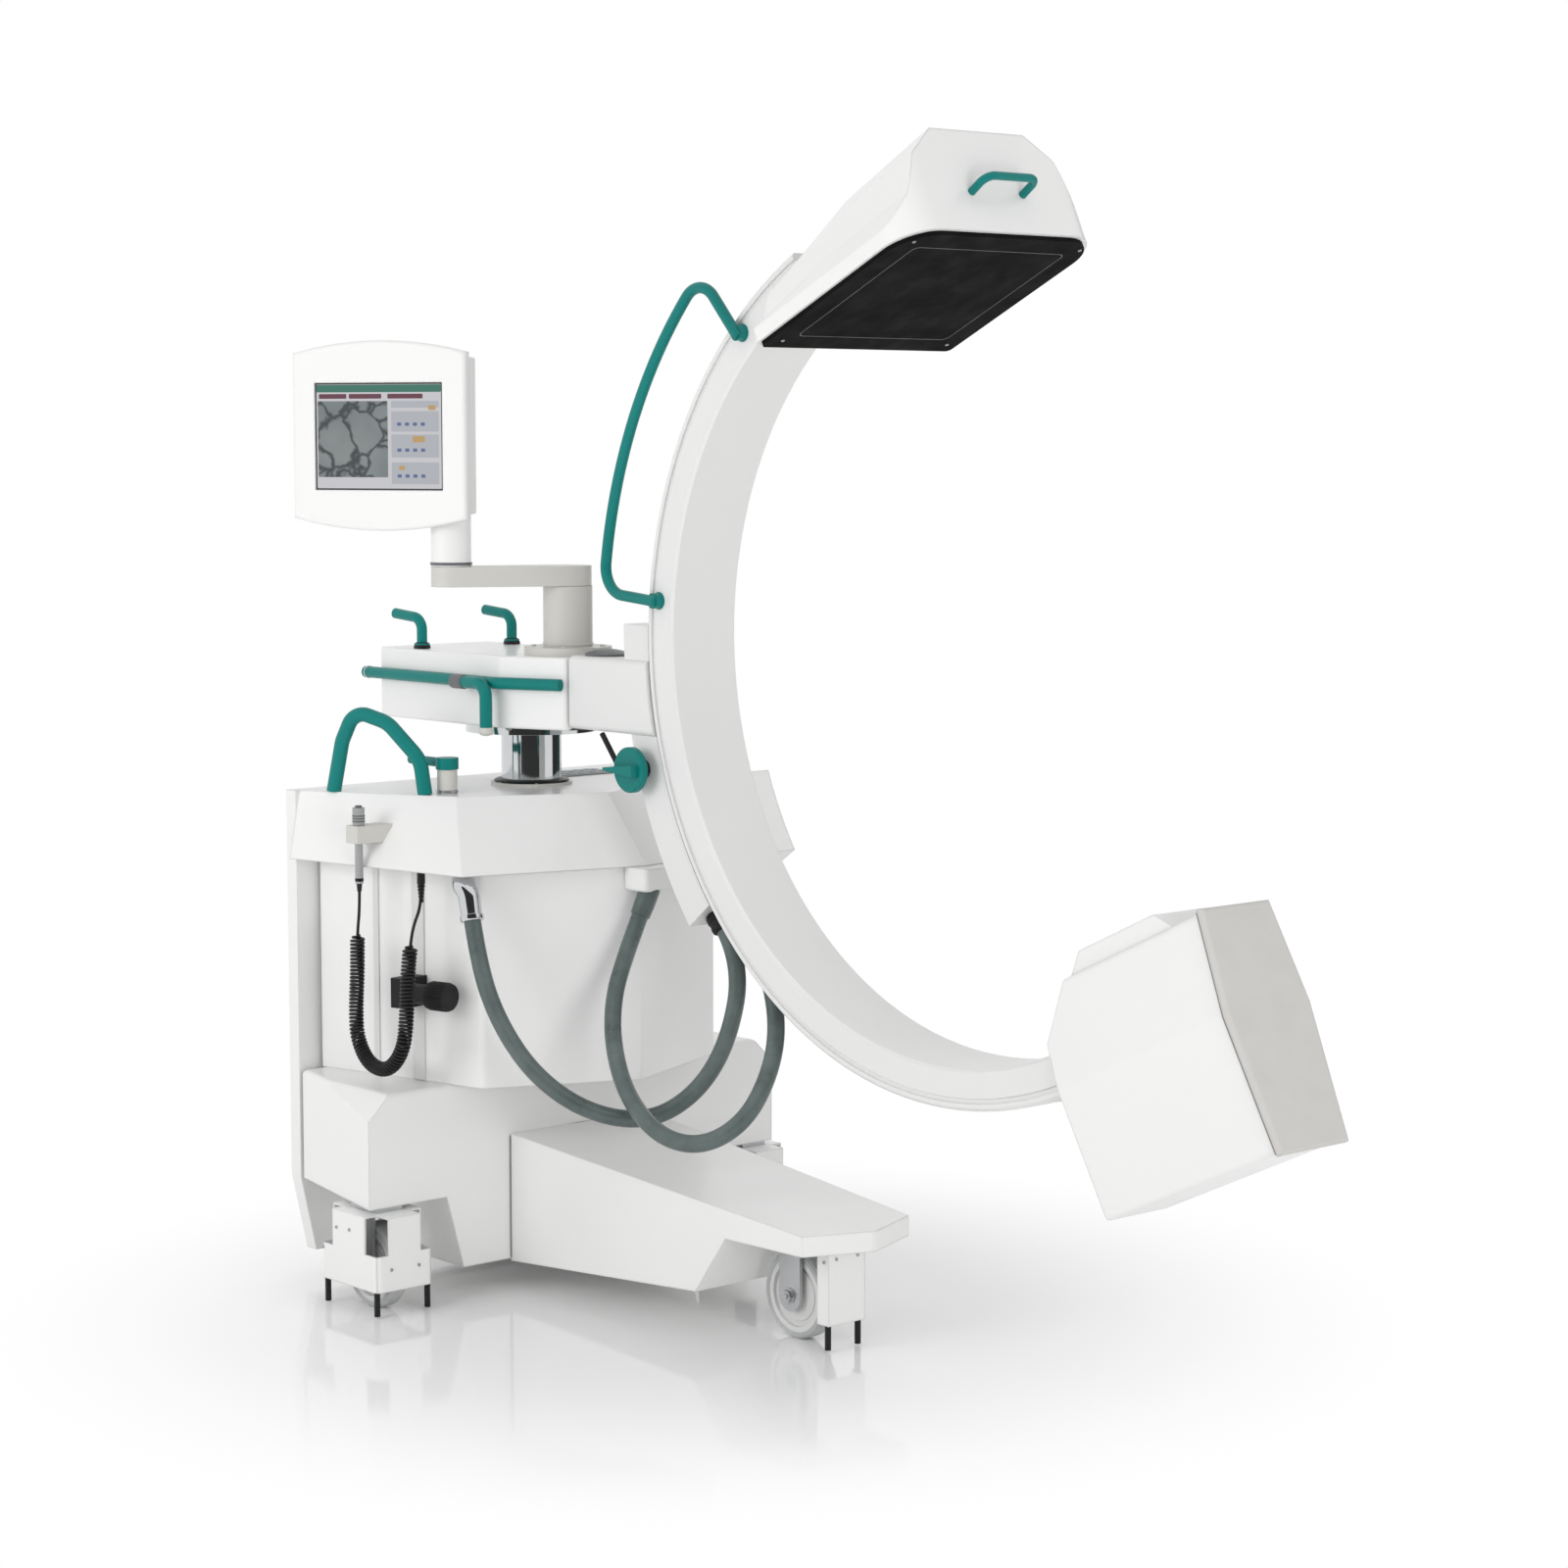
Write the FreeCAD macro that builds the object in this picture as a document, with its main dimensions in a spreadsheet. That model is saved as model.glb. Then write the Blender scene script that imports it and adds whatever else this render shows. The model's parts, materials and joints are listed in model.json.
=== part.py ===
import FreeCAD, Part
import Sketcher
import math
import os

# A mobile C-arm X-ray stand. Millimetres, +X towards the patient's side, +Y to the left of someone
# who looks along +X, +Z up. The origin lies on the floor, below the middle of the whole machine.
# The C is modelled in a frame of its own: its centre is the origin, +X runs along the detector's
# face away from the C, and +Z runs from the tube to the detector.

SIZES = {
    # The C, its centre and how far it is tipped back towards the operator
    "centre_x": 317,
    "centre_rise": 94,
    "orbit_tilt": 25.2,
    "arc_inner": 544,
    "arc_depth": 56,
    "arc_width": 120,
    "arc_chamfer": 4,
    "track_mouth": 44,
    "track_width": 80,
    "track_height": 24,
    "track_lip": 6,
    "groove_height": 7,
    "groove_depth": 3,
    "groove_inset": 10,
    # The detector's housing, above the C's centre
    "detector_height": 454,
    "detector_back": -35,
    "detector_length": 327,
    "detector_width": 352,
    "detector_tall": 146,
    "detector_band": 20,
    "detector_spare": 1,
    "detector_short": 96,
    "detector_shoulder": 300,
    "detector_brow": 256,
    "detector_crown": 170,
    "detector_corner": 58,
    "detector_back_corner": 8,
    "face_thick": 6,
    "face_margin": 4,
    "grid_hole_radius": 1.65,
    "grid_hole_depth": 5,
    "grid_hole_inset": 34,
    "grid_hole_margin": 62,
    "grip_span": 92,
    "grip_reach": 34,
    "grip_tube": 11,
    "grip_height": 62,
    "grip_bend": 16,
    # The tube's housing, below the C's centre
    "tube_top": -461,
    "tube_tall": 304,
    "tube_back": -17,
    "tube_length": 316,
    "tube_waist": 145,
    "tube_edge": 118,
    "tube_waist_drop": 130,
    "tube_dome": 25,
    "tube_dome_length": 190,
    "tube_bevel": 66,
    "tube_round": 8,
    "tube_top_round": 6,
    "tube_cover_thick": 9,
    "tube_cover_overlap": 4,
    "window_long": 84,
    "window_wide": 60,
    "window_deep": 6,
    # The bow handle on the C's near side
    "bow_radius": 684,
    "bow_tube": 16,
    "bow_foot_radius": 566,
    "bow_start": 107.4,
    "bow_end": 150,
    "bow_bend": 40,
    "bow_standoff": 5,
    "bow_foot": 22,
    # The bearing that the C runs through
    "yoke_gap": 3,
    "yoke_depth": 56,
    "yoke_width": 110,
    "yoke_start": 179,
    "yoke_span": 40,
    "roller_radius": 11.7,
    "roller_length": 14,
    "roller_inset": 6,
    "roller_first": 184,
    "roller_spread": 30,
    "web_thick": 26,
    # The head and the shaft that it turns on
    "turn_rise": 152,
    "head_front": -321,
    "head_length": 142,
    "head_width": 124,
    "head_tall": 108,
    "head_round": 9,
    "head_cap_radius": 33.5,
    "head_cap_tall": 10,
    "head_cap_rim": 3,
    "head_cap_inset": 1.5,
    "head_cap_offset": 17,
    "head_nose": 60,
    "shaft_radius": 36,
    "shaft_length": 350,
    "shaft_gap": 0.05,
    "shaft_flange_radius": 50,
    "shaft_flange_thick": 6,
    "turn_gap": 1,
    "knob_radius": 33,
    "knob_thick": 12,
    "knob_chamfer": 3,
    "knob_boss": 14,
    "knob_angle": 197.73,
    "knob_depth": 40.8,
    "knob_stand": 20,
    "knob_gap": 0.3,
    "link_radius": 4,
    "link_back": 92,
    "link_low": 54,
    "link_bend": 12,
    "knob_grip_half": 9,
    "knob_grip_point": 9,
    "knob_grip_tip": 2,
    "knob_grip_tall": 12,
    # The horizontal carriage
    "carriage_back": -889,
    "carriage_shoulder": -575,
    "carriage_width": 212,
    "carriage_nose": 124,
    "carriage_drop": 58,
    "carriage_tall": 108,
    "carriage_round": 10,
    "carriage_edge": 4,
    "rail_radius": 9,
    "rail_rise": 10,
    "rail_overhang": 22,
    "rail_short": 4,
    "lever_x": -801,
    "lever_y": 86,
    "lever_tube": 8,
    "lever_rise": 46,
    "lever_reach": 62,
    "lever_socket": 12,
    "lever_bend": 24,
    "side_lever_x": -648,
    "side_lever_tube": 9.5,
    "side_lever_run": 76,
    "side_lever_drop": 66,
    "side_lever_bend": 22,
    # The column
    "column_x": -638,
    "column_radius": 46,
    "column_length": 560,
    "column_gap": 0.05,
    "column_hollow_gap": 1,
    "flange_radius": 100,
    "flange_thick": 12,
    "flange_gap": 0.3,
    "collar_radius": 62,
    # The monitor and its arm
    "post_x": -545,
    "post_radius": 37,
    "post_tall": 102.7,
    "post_foot_radius": 66,
    "post_foot_thick": 12,
    "arm_turn": 244,
    "arm_length": 176,
    "arm_thick": 30,
    "arm_round": 36,
    "arm_gap": 0.3,
    "neck_radius": 30,
    "neck_tall": 42,
    "screen_turn": -62.4,
    "monitor_width": 286,
    "monitor_tall": 244,
    "monitor_bow": 18,
    "monitor_deep": 46,
    "monitor_offset": -92,
    "monitor_forward": 52,
    "monitor_rise": 86,
    "bezel_deep": 14,
    "monitor_round": 12,
    "screen_width": 211,
    "screen_tall": 158,
    "screen_drop": 44,
    "screen_glass": 3,
    "screen_recess": 2,
    # The console on top of the cabinet
    "console_bottom": 638,
    "console_top": 740,
    "console_rear": -783,
    "console_low_half": 344,
    "console_low_corner_x": -431,
    "console_low_corner_y": 282,
    "console_low_nose": -358,
    "console_high_half": 326,
    "console_high_corner_x": -549,
    "console_high_corner_y": 206,
    "console_high_nose": -449,
    "handle_tube": 22,
    "handle_rear_x": -735,
    "handle_rear_y": 296,
    "handle_front_x": -605,
    "handle_front_y": 222,
    "handle_rise": 122,
    "handle_bend": 46,
    "post_lever_x": -599,
    "post_lever_y": -186,
    "post_lever_radius": 15,
    "post_lever_tall": 36,
    "steer_lever_length": 92,
    "steer_lever_tube": 14,
    "steer_cap_radius": 17,
    "steer_cap_tall": 17,
    # The cabinet below it
    "cabinet_bottom": 318,
    "cabinet_rear": -775,
    "cabinet_rear_half": 296,
    "cabinet_corner_x": -469,
    "cabinet_corner_y": 222,
    "cabinet_nose": -373,
    "cabinet_round": 14,
    "cabinet_nose_round": 6,
    "panel_thick": 34,
    "panel_half": 332,
    "panel_bottom": 36,
    "panel_taper": 26,
    "panel_round": 12,
    # The base and its leg
    "bar_front": -523,
    "bar_rear": -775,
    "bar_front_half": 386,
    "bar_rear_half": 332,
    "bar_bottom": 42,
    "bar_corner": 38,
    "bar_round": 8,
    "well_half": 248,
    "well_height": 152,
    "well_slant": 30,
    "leg_root_half": 132,
    "leg_tip_half": 100,
    "leg_tip": 98,
    "leg_nose": 137,
    "leg_root_top": 232,
    "leg_tip_top": 179,
    "leg_root_bottom": 38,
    "leg_notch": -117,
    "leg_notch_bottom": 64,
    "leg_well": -55,
    "leg_well_height": 150,
    # The casters
    "wheel_radius": 62.5,
    "wheel_width": 30,
    "tyre_thick": 9,
    "hub_radius": 14,
    "wheel_recess": 7,
    "axle_radius": 6,
    "axle_gap": 0.05,
    "fork_gap": 3,
    "fork_thick": 5,
    "fork_half": 22,
    "fork_plate": 6,
    "fork_lip": 10,
    "seat_gap": 0.3,
    "stem_radius": 10,
    "stem_length": 40,
    "stem_gap": 0.05,
    "rear_wheel_x": -557,
    "rear_wheel_y": 350,
    "front_wheel_x": -16,
    "guard_half_length": 71,
    "guard_half_width": 50,
    "guard_thick": 3,
    "guard_bottom": 38,
    "guard_round": 10,
    "guard_notch_long": 30,
    "guard_notch_wide": 22,
    "guard_notch_height": 91,
    "pin_radius": 4.5,
    "front_guard_x": 55,
    "front_guard_half": 34,
    "front_guard_deep": 24,
    # The hand switch on the console's near side
    "switch_x": -628,
    "switch_y": -325,
    "switch_drop": 40,
    "switch_radius": 9,
    "switch_long": 26,
    "switch_stem_radius": 6,
    "switch_stem_long": 86,
    "holder_wide": 30,
    "holder_tall": 26,
    "holder_deep": 24,
    "switch_gap": 0.3,
    "button_radius": 5,
    "button_tall": 6,
    "button_gap": 0.3,
    # The cords
    "curl_radius": 9,
    "lead_radius": 2.5,
    "relief_radius": 6,
    "relief_long": 18,
    "hose_radius": 12.5,
    "gland_radius": 17,
    "gland_long": 26,
    "side_gland_long": 40,
    # The connector that is parked on the cabinet's near side
    "plug_x": -583,
    "plug_height": 455,
    "plug_radius": 15,
    "plug_collar_radius": 20,
    "plug_long": 88,
    "plug_stand": 36,
    # The cable outlet on the C's far side
    "outlet_start": 176,
    "outlet_span": 13,
    "outlet_inset": 8,
    "outlet_depth": 38,
    "outlet_stand": 38,
}

# Places that follow from others
TURN_HEIGHT = "(sizes.console_top + sizes.turn_rise)"
CENTRE_HEIGHT = "(%s + sizes.centre_rise)" % TURN_HEIGHT
HEAD_TOP = "(%s + sizes.head_tall / 2)" % TURN_HEIGHT
HEAD_LOW = "(%s - sizes.head_tall / 2)" % TURN_HEIGHT
CARRIAGE_BOTTOM = "(%s - sizes.carriage_drop)" % TURN_HEIGHT
CARRIAGE_TOP = "(%s + sizes.carriage_tall)" % CARRIAGE_BOTTOM
CARRIAGE_FRONT = "(sizes.head_front - sizes.head_length - sizes.shaft_flange_thick - 2 * sizes.turn_gap)"
RAIL_HEIGHT = "(%s + sizes.rail_rise)" % TURN_HEIGHT
ARM_HEIGHT = "(%s + sizes.post_tall + sizes.arm_gap + sizes.arm_thick / 2)" % CARRIAGE_TOP
MONITOR_BOTTOM = "(%s + sizes.monitor_rise)" % ARM_HEIGHT
SWITCH_HEIGHT = "(sizes.console_top - sizes.switch_drop)"

doc = FreeCAD.newDocument("mobile_c_arm_stand")
sheet = doc.addObject("Spreadsheet::Sheet", "sizes")
PARTS = []


def fill_sheet():
    """Writes each driving size into a cell that carries its name."""
    for row, (name, number) in enumerate(SIZES.items(), start=1):
        sheet.set("A%d" % row, str(number))
        sheet.setAlias("A%d" % row, name)
    doc.recompute()


def size(expression):
    """The value of an expression in the sheet's names."""
    return float(sheet.evalExpression(expression))


def point(x, y, z):
    return FreeCAD.Vector(size(x), size(y), size(z))


def part(made, label):
    """Names a finished object as one of the machine's pieces."""
    made.Label = label
    PARTS.append(made)
    return made


# Sketches and features

def new_body(name):
    return doc.addObject("PartDesign::Body", name + "_body")


def origin_plane(body, role):
    return next(item for item in body.Origin.OriginFeatures if item.Role == role)


def new_sketch(body, role, offset=None):
    """A sketch on one of the body's own planes, moved along the plane's normal."""
    drawn = body.newObject("Sketcher::SketchObject", body.Name + "_sketch")
    drawn.AttachmentSupport = (origin_plane(body, role), [""])
    drawn.MapMode = "FlatFace"
    if offset:
        drawn.setExpression("AttachmentOffset.Base.z", offset)
    return drawn


def draw_outline(drawn, corners):
    """A closed outline through corners, each a pair of expressions bound to the sheet."""
    first = drawn.GeometryCount
    count = len(corners)
    places = [FreeCAD.Vector(size(across), size(up), 0) for across, up in corners]
    for index in range(count):
        drawn.addGeometry(Part.LineSegment(places[index], places[(index + 1) % count]))
    for index in range(count):
        following = first + (index + 1) % count
        drawn.addConstraint(Sketcher.Constraint("Coincident", first + index, 2, following, 1))
    for index, (across, up) in enumerate(corners):
        for kind, expression in (("DistanceX", across), ("DistanceY", up)):
            rule = Sketcher.Constraint(kind, first + index, 1, size(expression))
            number = drawn.addConstraint(rule)
            drawn.setExpression("Constraints[%d]" % number, expression)


def draw_circle(drawn, across, up, radius):
    """A circle whose centre and radius are expressions bound to the sheet."""
    centre = FreeCAD.Vector(size(across), size(up), 0)
    index = drawn.addGeometry(Part.Circle(centre, FreeCAD.Vector(0, 0, 1), size(radius)))
    for kind, expression in (("DistanceX", across), ("DistanceY", up)):
        rule = Sketcher.Constraint(kind, index, 3, size(expression))
        drawn.setExpression("Constraints[%d]" % drawn.addConstraint(rule), expression)
    number = drawn.addConstraint(Sketcher.Constraint("Radius", index, size(radius)))
    drawn.setExpression("Constraints[%d]" % number, radius)


def mirrored(corners):
    """Adds the mirror image across the first axis, so the outline closes on itself."""
    return corners + [("-(%s)" % across, up) for across, up in reversed(corners)]


def mirrored_down(corners, middle=()):
    """Adds the mirror image across the second axis, after a middle corner if there is one."""
    return corners + list(middle) + [(across, "-(%s)" % up) for across, up in reversed(corners)]


def pad(body, drawn, length, both_ways=False, reverse=False):
    made = body.newObject("PartDesign::Pad", body.Name + "_pad")
    made.Profile = drawn
    made.setExpression("Length", length)
    if both_ways:
        made.SideType = "Symmetric"
    made.Reversed = reverse
    drawn.Visibility = False
    return made


def pocket(body, drawn, length=None, both_ways=False, reverse=False):
    made = body.newObject("PartDesign::Pocket", body.Name + "_pocket")
    made.Profile = drawn
    if length:
        made.setExpression("Length", length)
    else:
        made.Type = "ThroughAll"
    if both_ways:
        made.SideType = "Symmetric"
    made.Reversed = reverse
    drawn.Visibility = False
    return made


def fillet(body, radius, wanted):
    """Rounds the edges of the body's tip that a test picks."""
    doc.recompute()
    tip = body.Tip
    names = ["Edge%d" % number for number, edge in enumerate(tip.Shape.Edges, start=1) if wanted(edge)]
    made = body.newObject("PartDesign::Fillet", body.Name + "_fillet")
    made.Base = (tip, names)
    made.setExpression("Radius", radius)
    return made


def chamfer(body, width, wanted):
    """Bevels the edges of the body's tip that a test picks."""
    doc.recompute()
    tip = body.Tip
    names = ["Edge%d" % number for number, edge in enumerate(tip.Shape.Edges, start=1) if wanted(edge)]
    made = body.newObject("PartDesign::Chamfer", body.Name + "_chamfer")
    made.Base = (tip, names)
    made.setExpression("Size", width)
    return made


def along(edge, axis):
    """Whether a straight edge runs along an axis of the body."""
    if edge.Curve.TypeId != "Part::GeomLine":
        return False
    return abs(edge.Curve.Direction.dot(axis)) > 0.999


def upright(edge):
    return along(edge, FreeCAD.Vector(0, 0, 1))


def crosswise(edge):
    return along(edge, FreeCAD.Vector(0, 1, 0))


def place(made, x="0", y="0", z="0", axis=(0, 0, 1), turn="0"):
    """Puts a piece at a place given by expressions, turned about an axis."""
    rotation = FreeCAD.Rotation(FreeCAD.Vector(*axis), size(turn))
    made.Placement = FreeCAD.Placement(point(x, y, z), rotation)
    return made


def place_in_c(made):
    """Puts a piece that was modelled in the C's own frame on the machine."""
    return place(made, "sizes.centre_x", "0", CENTRE_HEIGHT, (0, -1, 0), "sizes.orbit_tilt")


def prism(label, role, corners, length, offset=None, both_ways=False):
    """A body padded from one outline."""
    body = new_body(label)
    drawn = new_sketch(body, role, offset)
    draw_outline(drawn, corners)
    pad(body, drawn, length, both_ways)
    return part(body, label)


def cut_outline(body, role, corners, length=None, both_ways=False, offset=None, reverse=False):
    """Cuts one outline out of a body, through all of it unless a length is given."""
    drawn = new_sketch(body, role, offset)
    draw_outline(drawn, corners)
    return pocket(body, drawn, length, both_ways or not length, reverse)


def cut_circle(body, role, across, up, radius, length=None, offset=None, reverse=False):
    drawn = new_sketch(body, role, offset)
    draw_circle(drawn, across, up, radius)
    return pocket(body, drawn, length, not length, reverse)


def add_outline(body, role, corners, length, offset=None, both_ways=False, reverse=False):
    drawn = new_sketch(body, role, offset)
    draw_outline(drawn, corners)
    return pad(body, drawn, length, both_ways, reverse)


def add_circle(body, role, across, up, radius, length, offset=None, both_ways=False, reverse=False):
    drawn = new_sketch(body, role, offset)
    draw_circle(drawn, across, up, radius)
    return pad(body, drawn, length, both_ways, reverse)


def cylinder(radius, height, x="0", y="0", z="0", axis=(0, 0, 1)):
    """A Part cylinder from a base point along an axis."""
    made = doc.addObject("Part::Cylinder", "cylinder")
    made.setExpression("Radius", radius)
    made.setExpression("Height", height)
    turn = FreeCAD.Rotation(FreeCAD.Vector(0, 0, 1), FreeCAD.Vector(*axis))
    made.Placement = FreeCAD.Placement(point(x, y, z), turn)
    return made


def box(length, width, height, x="0", y="0", z="0"):
    """A Part box from its lowest corner."""
    made = doc.addObject("Part::Box", "box")
    made.setExpression("Length", length)
    made.setExpression("Width", width)
    made.setExpression("Height", height)
    made.Placement = FreeCAD.Placement(point(x, y, z), FreeCAD.Rotation())
    return made


def fused(pieces):
    made = doc.addObject("Part::MultiFuse", "fusion")
    made.Shapes = pieces
    made.Refine = True
    return made


def less(base, tool):
    made = doc.addObject("Part::Cut", "cut")
    made.Base = base
    made.Tool = tool
    made.Refine = True
    return made


def feature(shape, label=None):
    """A piece whose shape is made with Part's own functions."""
    made = doc.addObject("Part::Feature", "shape")
    made.Shape = shape
    return part(made, label) if label else made


def rounded_path(points, radius_share=0.45, largest=None):
    """Straight runs joined by tangent arcs, and the arcs' radii."""
    edges = []
    radii = []
    start = points[0]
    for before, corner, after in zip(points, points[1:], points[2:]):
        incoming = corner - before
        outgoing = after - corner
        turn = incoming.getAngle(outgoing)
        setback = radius_share * min(incoming.Length, outgoing.Length)
        radius = setback / math.tan(turn / 2)
        if largest and radius > largest:
            radius = largest
            setback = radius * math.tan(turn / 2)
        radii.append(radius)
        entry = corner - FreeCAD.Vector(incoming).normalize() * setback
        leave = corner + FreeCAD.Vector(outgoing).normalize() * setback
        inward = (FreeCAD.Vector(outgoing).normalize() - FreeCAD.Vector(incoming).normalize()).normalize()
        middle = corner + inward * (radius / math.cos(turn / 2) - radius)
        edges.append(Part.LineSegment(start, entry).toShape())
        edges.append(Part.Arc(entry, middle, leave).toShape())
        start = leave
    edges.append(Part.LineSegment(start, points[-1]).toShape())
    return Part.Wire(edges), radii


def tube(points, radius, largest=None):
    """A round bar along a rounded path."""
    path, radii = rounded_path(points, 0.45, largest)
    direction = points[1] - points[0]
    ring = Part.Wire(Part.Circle(points[0], direction, radius).toShape())
    return path.makePipeShell([ring], True, False), path, radii


# The C

def ring_outline():
    """The extrusion's section, from its inner face out to the track for the rollers."""
    inner = "-sizes.arc_inner"
    outer = "-(sizes.arc_inner + sizes.arc_depth)"
    lip = outer + " + sizes.track_lip"
    floor = lip + " + sizes.track_height"
    groove = outer + " + sizes.groove_inset"
    half = "sizes.arc_width / 2"
    notch = half + " - sizes.groove_depth"
    upper = [
        (inner, half),
        (groove + " + sizes.groove_height", half),
        (groove + " + sizes.groove_height", notch),
        (groove, notch),
        (groove, half),
        (outer, half),
        (outer, "sizes.track_mouth / 2"),
        (lip, "sizes.track_mouth / 2"),
        (lip, "sizes.track_width / 2"),
        (floor, "sizes.track_width / 2"),
    ]
    return mirrored_down(upper)


def c_arc():
    """The C: half a ring with a T-shaped track round its back, cut off at both housings."""
    body = new_body("c_arc")
    drawn = new_sketch(body, "XY_Plane")
    draw_outline(drawn, ring_outline())
    ring = body.newObject("PartDesign::Revolution", "c_arc_ring")
    ring.Profile = drawn
    ring.ReferenceAxis = (drawn, ["V_Axis"])
    ring.Angle = 180
    ring.Midplane = True
    beyond = "sizes.arc_inner + sizes.arc_depth + 20"
    for end, up in (("sizes.detector_back", beyond), ("sizes.tube_back", "-(%s)" % beyond)):
        cut_outline(body, "XZ_Plane", [(end, "0"), ("100", "0"), ("100", up), (end, up)])
    inner_radius = size("sizes.arc_inner")
    outer_radius = inner_radius + size("sizes.arc_depth")
    half = size("sizes.arc_width") / 2

    def outer_corner(edge):
        if edge.Curve.TypeId != "Part::GeomCircle":
            return False
        on_side = abs(abs(edge.Curve.Center.y) - half) < 0.1
        radius = edge.Curve.Radius
        return on_side and min(abs(radius - inner_radius), abs(radius - outer_radius)) < 0.1

    chamfer(body, "sizes.arc_chamfer", outer_corner)
    place_in_c(part(body, "c_arc"))


def bow_point(angle, radius, beside):
    turn = math.radians(angle)
    return FreeCAD.Vector(radius * math.cos(turn), -beside, radius * math.sin(turn))


def bow_bend(angle, sense, beside):
    """The start, the middle and the end of the bend between a foot's straight run and the bow."""
    bow = size("sizes.bow_radius")
    bend = size("sizes.bow_bend")
    reach = bow - bend
    turn = sense * math.degrees(math.asin(bend / reach))
    centre = bow_point(angle + turn, reach, beside)
    on_run = bow_point(angle, math.sqrt(reach ** 2 - bend ** 2), beside)
    on_bow = bow_point(angle + turn, bow, beside)
    toward = ((on_run - centre) + (on_bow - centre)).normalize()
    return on_run, centre + toward * bend, on_bow


def c_handle():
    """The long bow handle, on two feet on the C's near side."""
    start = size("sizes.bow_start")
    end = size("sizes.bow_end")
    foot = size("sizes.bow_foot_radius")
    half = size("sizes.arc_width") / 2
    radius = size("sizes.bow_tube") / 2
    beside = half + size("sizes.bow_standoff") + radius
    first = bow_point(start, foot, beside)
    last = bow_point(end, foot, beside)
    first_bend = bow_bend(start, 1, beside)
    last_bend = bow_bend(end, -1, beside)
    middle = bow_point((start + end) / 2, size("sizes.bow_radius"), beside)
    edges = [
        Part.LineSegment(first, first_bend[0]).toShape(),
        Part.Arc(*first_bend).toShape(),
        Part.Arc(first_bend[2], middle, last_bend[2]).toShape(),
        Part.Arc(*reversed(last_bend)).toShape(),
        Part.LineSegment(last_bend[0], last).toShape(),
    ]
    ring = Part.Wire(Part.Circle(first, first_bend[0] - first, radius).toShape())
    bar = Part.Wire(edges).makePipeShell([ring], True, False, 2)
    feet = []
    for angle in (start, end):
        seat = bow_point(angle, foot + radius, half)
        toward = FreeCAD.Vector(0, -1, 0)
        feet.append(Part.makeCylinder(size("sizes.bow_foot") / 2, beside - half, seat, toward))
    place_in_c(feature(bar.multiFuse(feet).removeSplitter(), "c_handle"))


def rounded_plate(name, margin, thick):
    """A plate on the detector's outline, with large corners at its free end and small ones at the C."""
    body = new_body(name)
    drawn = new_sketch(body, "XY_Plane", "sizes.detector_height")
    back = "sizes.detector_back + (%s)" % margin
    ahead = "sizes.detector_back + sizes.detector_length - (%s)" % margin
    half = "sizes.detector_width / 2 - (%s)" % margin
    draw_outline(drawn, mirrored_down([(back, half), (ahead, half)]))
    pad(body, drawn, thick)
    middle = size(back) / 2 + size(ahead) / 2
    fillet(body, "sizes.detector_corner", lambda edge: upright(edge) and edge.BoundBox.XMin > middle)
    fillet(body, "sizes.detector_back_corner", lambda edge: upright(edge) and edge.BoundBox.XMax < middle - 1
           and edge.Curve.TypeId == "Part::GeomLine" and abs(edge.BoundBox.XMin - size(back)) < 1)
    return body


def detector_housing():
    """The flat detector's housing: a domed loft that falls towards the C, trimmed to a rounded outline."""
    body = new_body("detector_form")
    half = "(sizes.detector_width / 2 + sizes.detector_spare)"
    low = "(sizes.detector_height + sizes.face_thick)"

    def section(offset, tall):
        corners = [
            (half, low),
            (half, low + " + sizes.detector_band"),
            ("sizes.detector_shoulder / 2", low + " + (%s) * 0.38" % tall),
            ("sizes.detector_brow / 2", low + " + (%s) * 0.75" % tall),
            ("sizes.detector_crown / 2", low + " + " + tall),
        ]
        drawn = new_sketch(body, "YZ_Plane", offset)
        draw_outline(drawn, mirrored(corners))
        return drawn

    back = section("sizes.detector_back - sizes.detector_spare", "sizes.detector_short")
    middle = section("sizes.detector_back + sizes.detector_length * 0.45", "sizes.detector_tall * 0.93")
    front = section("sizes.detector_back + sizes.detector_length + sizes.detector_spare", "sizes.detector_tall")
    loft = body.newObject("PartDesign::AdditiveLoft", "detector_loft")
    loft.Profile = back
    loft.Sections = [middle, front]
    loft.Ruled = True
    made = doc.addObject("Part::Common", "detector_trim")
    made.Base = body
    made.Tool = rounded_plate("detector_outline", "0", "sizes.detector_tall + 2 * sizes.face_thick")
    doc.recompute()
    place_in_c(part(made, "detector_housing"))


def detector_face():
    """The black face plate, with four tapped holes for a grid."""
    body = rounded_plate("detector_face", "sizes.face_margin", "sizes.face_thick")
    half = "(sizes.detector_width / 2 - sizes.face_margin)"
    inset = "(sizes.face_margin + sizes.grid_hole_inset)"
    back = "sizes.detector_back + " + inset
    ahead = "sizes.detector_back + sizes.detector_length - " + inset
    for x in (back, ahead):
        for sign in ("", "-"):
            y = sign + "(%s - sizes.grid_hole_margin)" % half
            cut_circle(body, "XY_Plane", x, y, "sizes.grid_hole_radius", "sizes.grid_hole_depth",
                       "sizes.detector_height", True)
    place_in_c(part(body, "detector_face"))


def detector_grip():
    """The small bow handle on the detector's far end."""
    end = size("sizes.detector_back + sizes.detector_length")
    level = size("sizes.detector_height + sizes.grip_height")
    half = size("sizes.grip_span") / 2
    reach = size("sizes.grip_reach")
    points = [
        FreeCAD.Vector(end, -half, level),
        FreeCAD.Vector(end + reach, -half, level + 6),
        FreeCAD.Vector(end + reach, half, level + 6),
        FreeCAD.Vector(end, half, level),
    ]
    bar = tube(points, size("sizes.grip_tube") / 2, size("sizes.grip_bend"))[0]
    face = Part.makeBox(100, 400, 400, FreeCAD.Vector(end - 100, -200, level - 200))
    place_in_c(feature(bar.cut(face), "detector_grip"))


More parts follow.
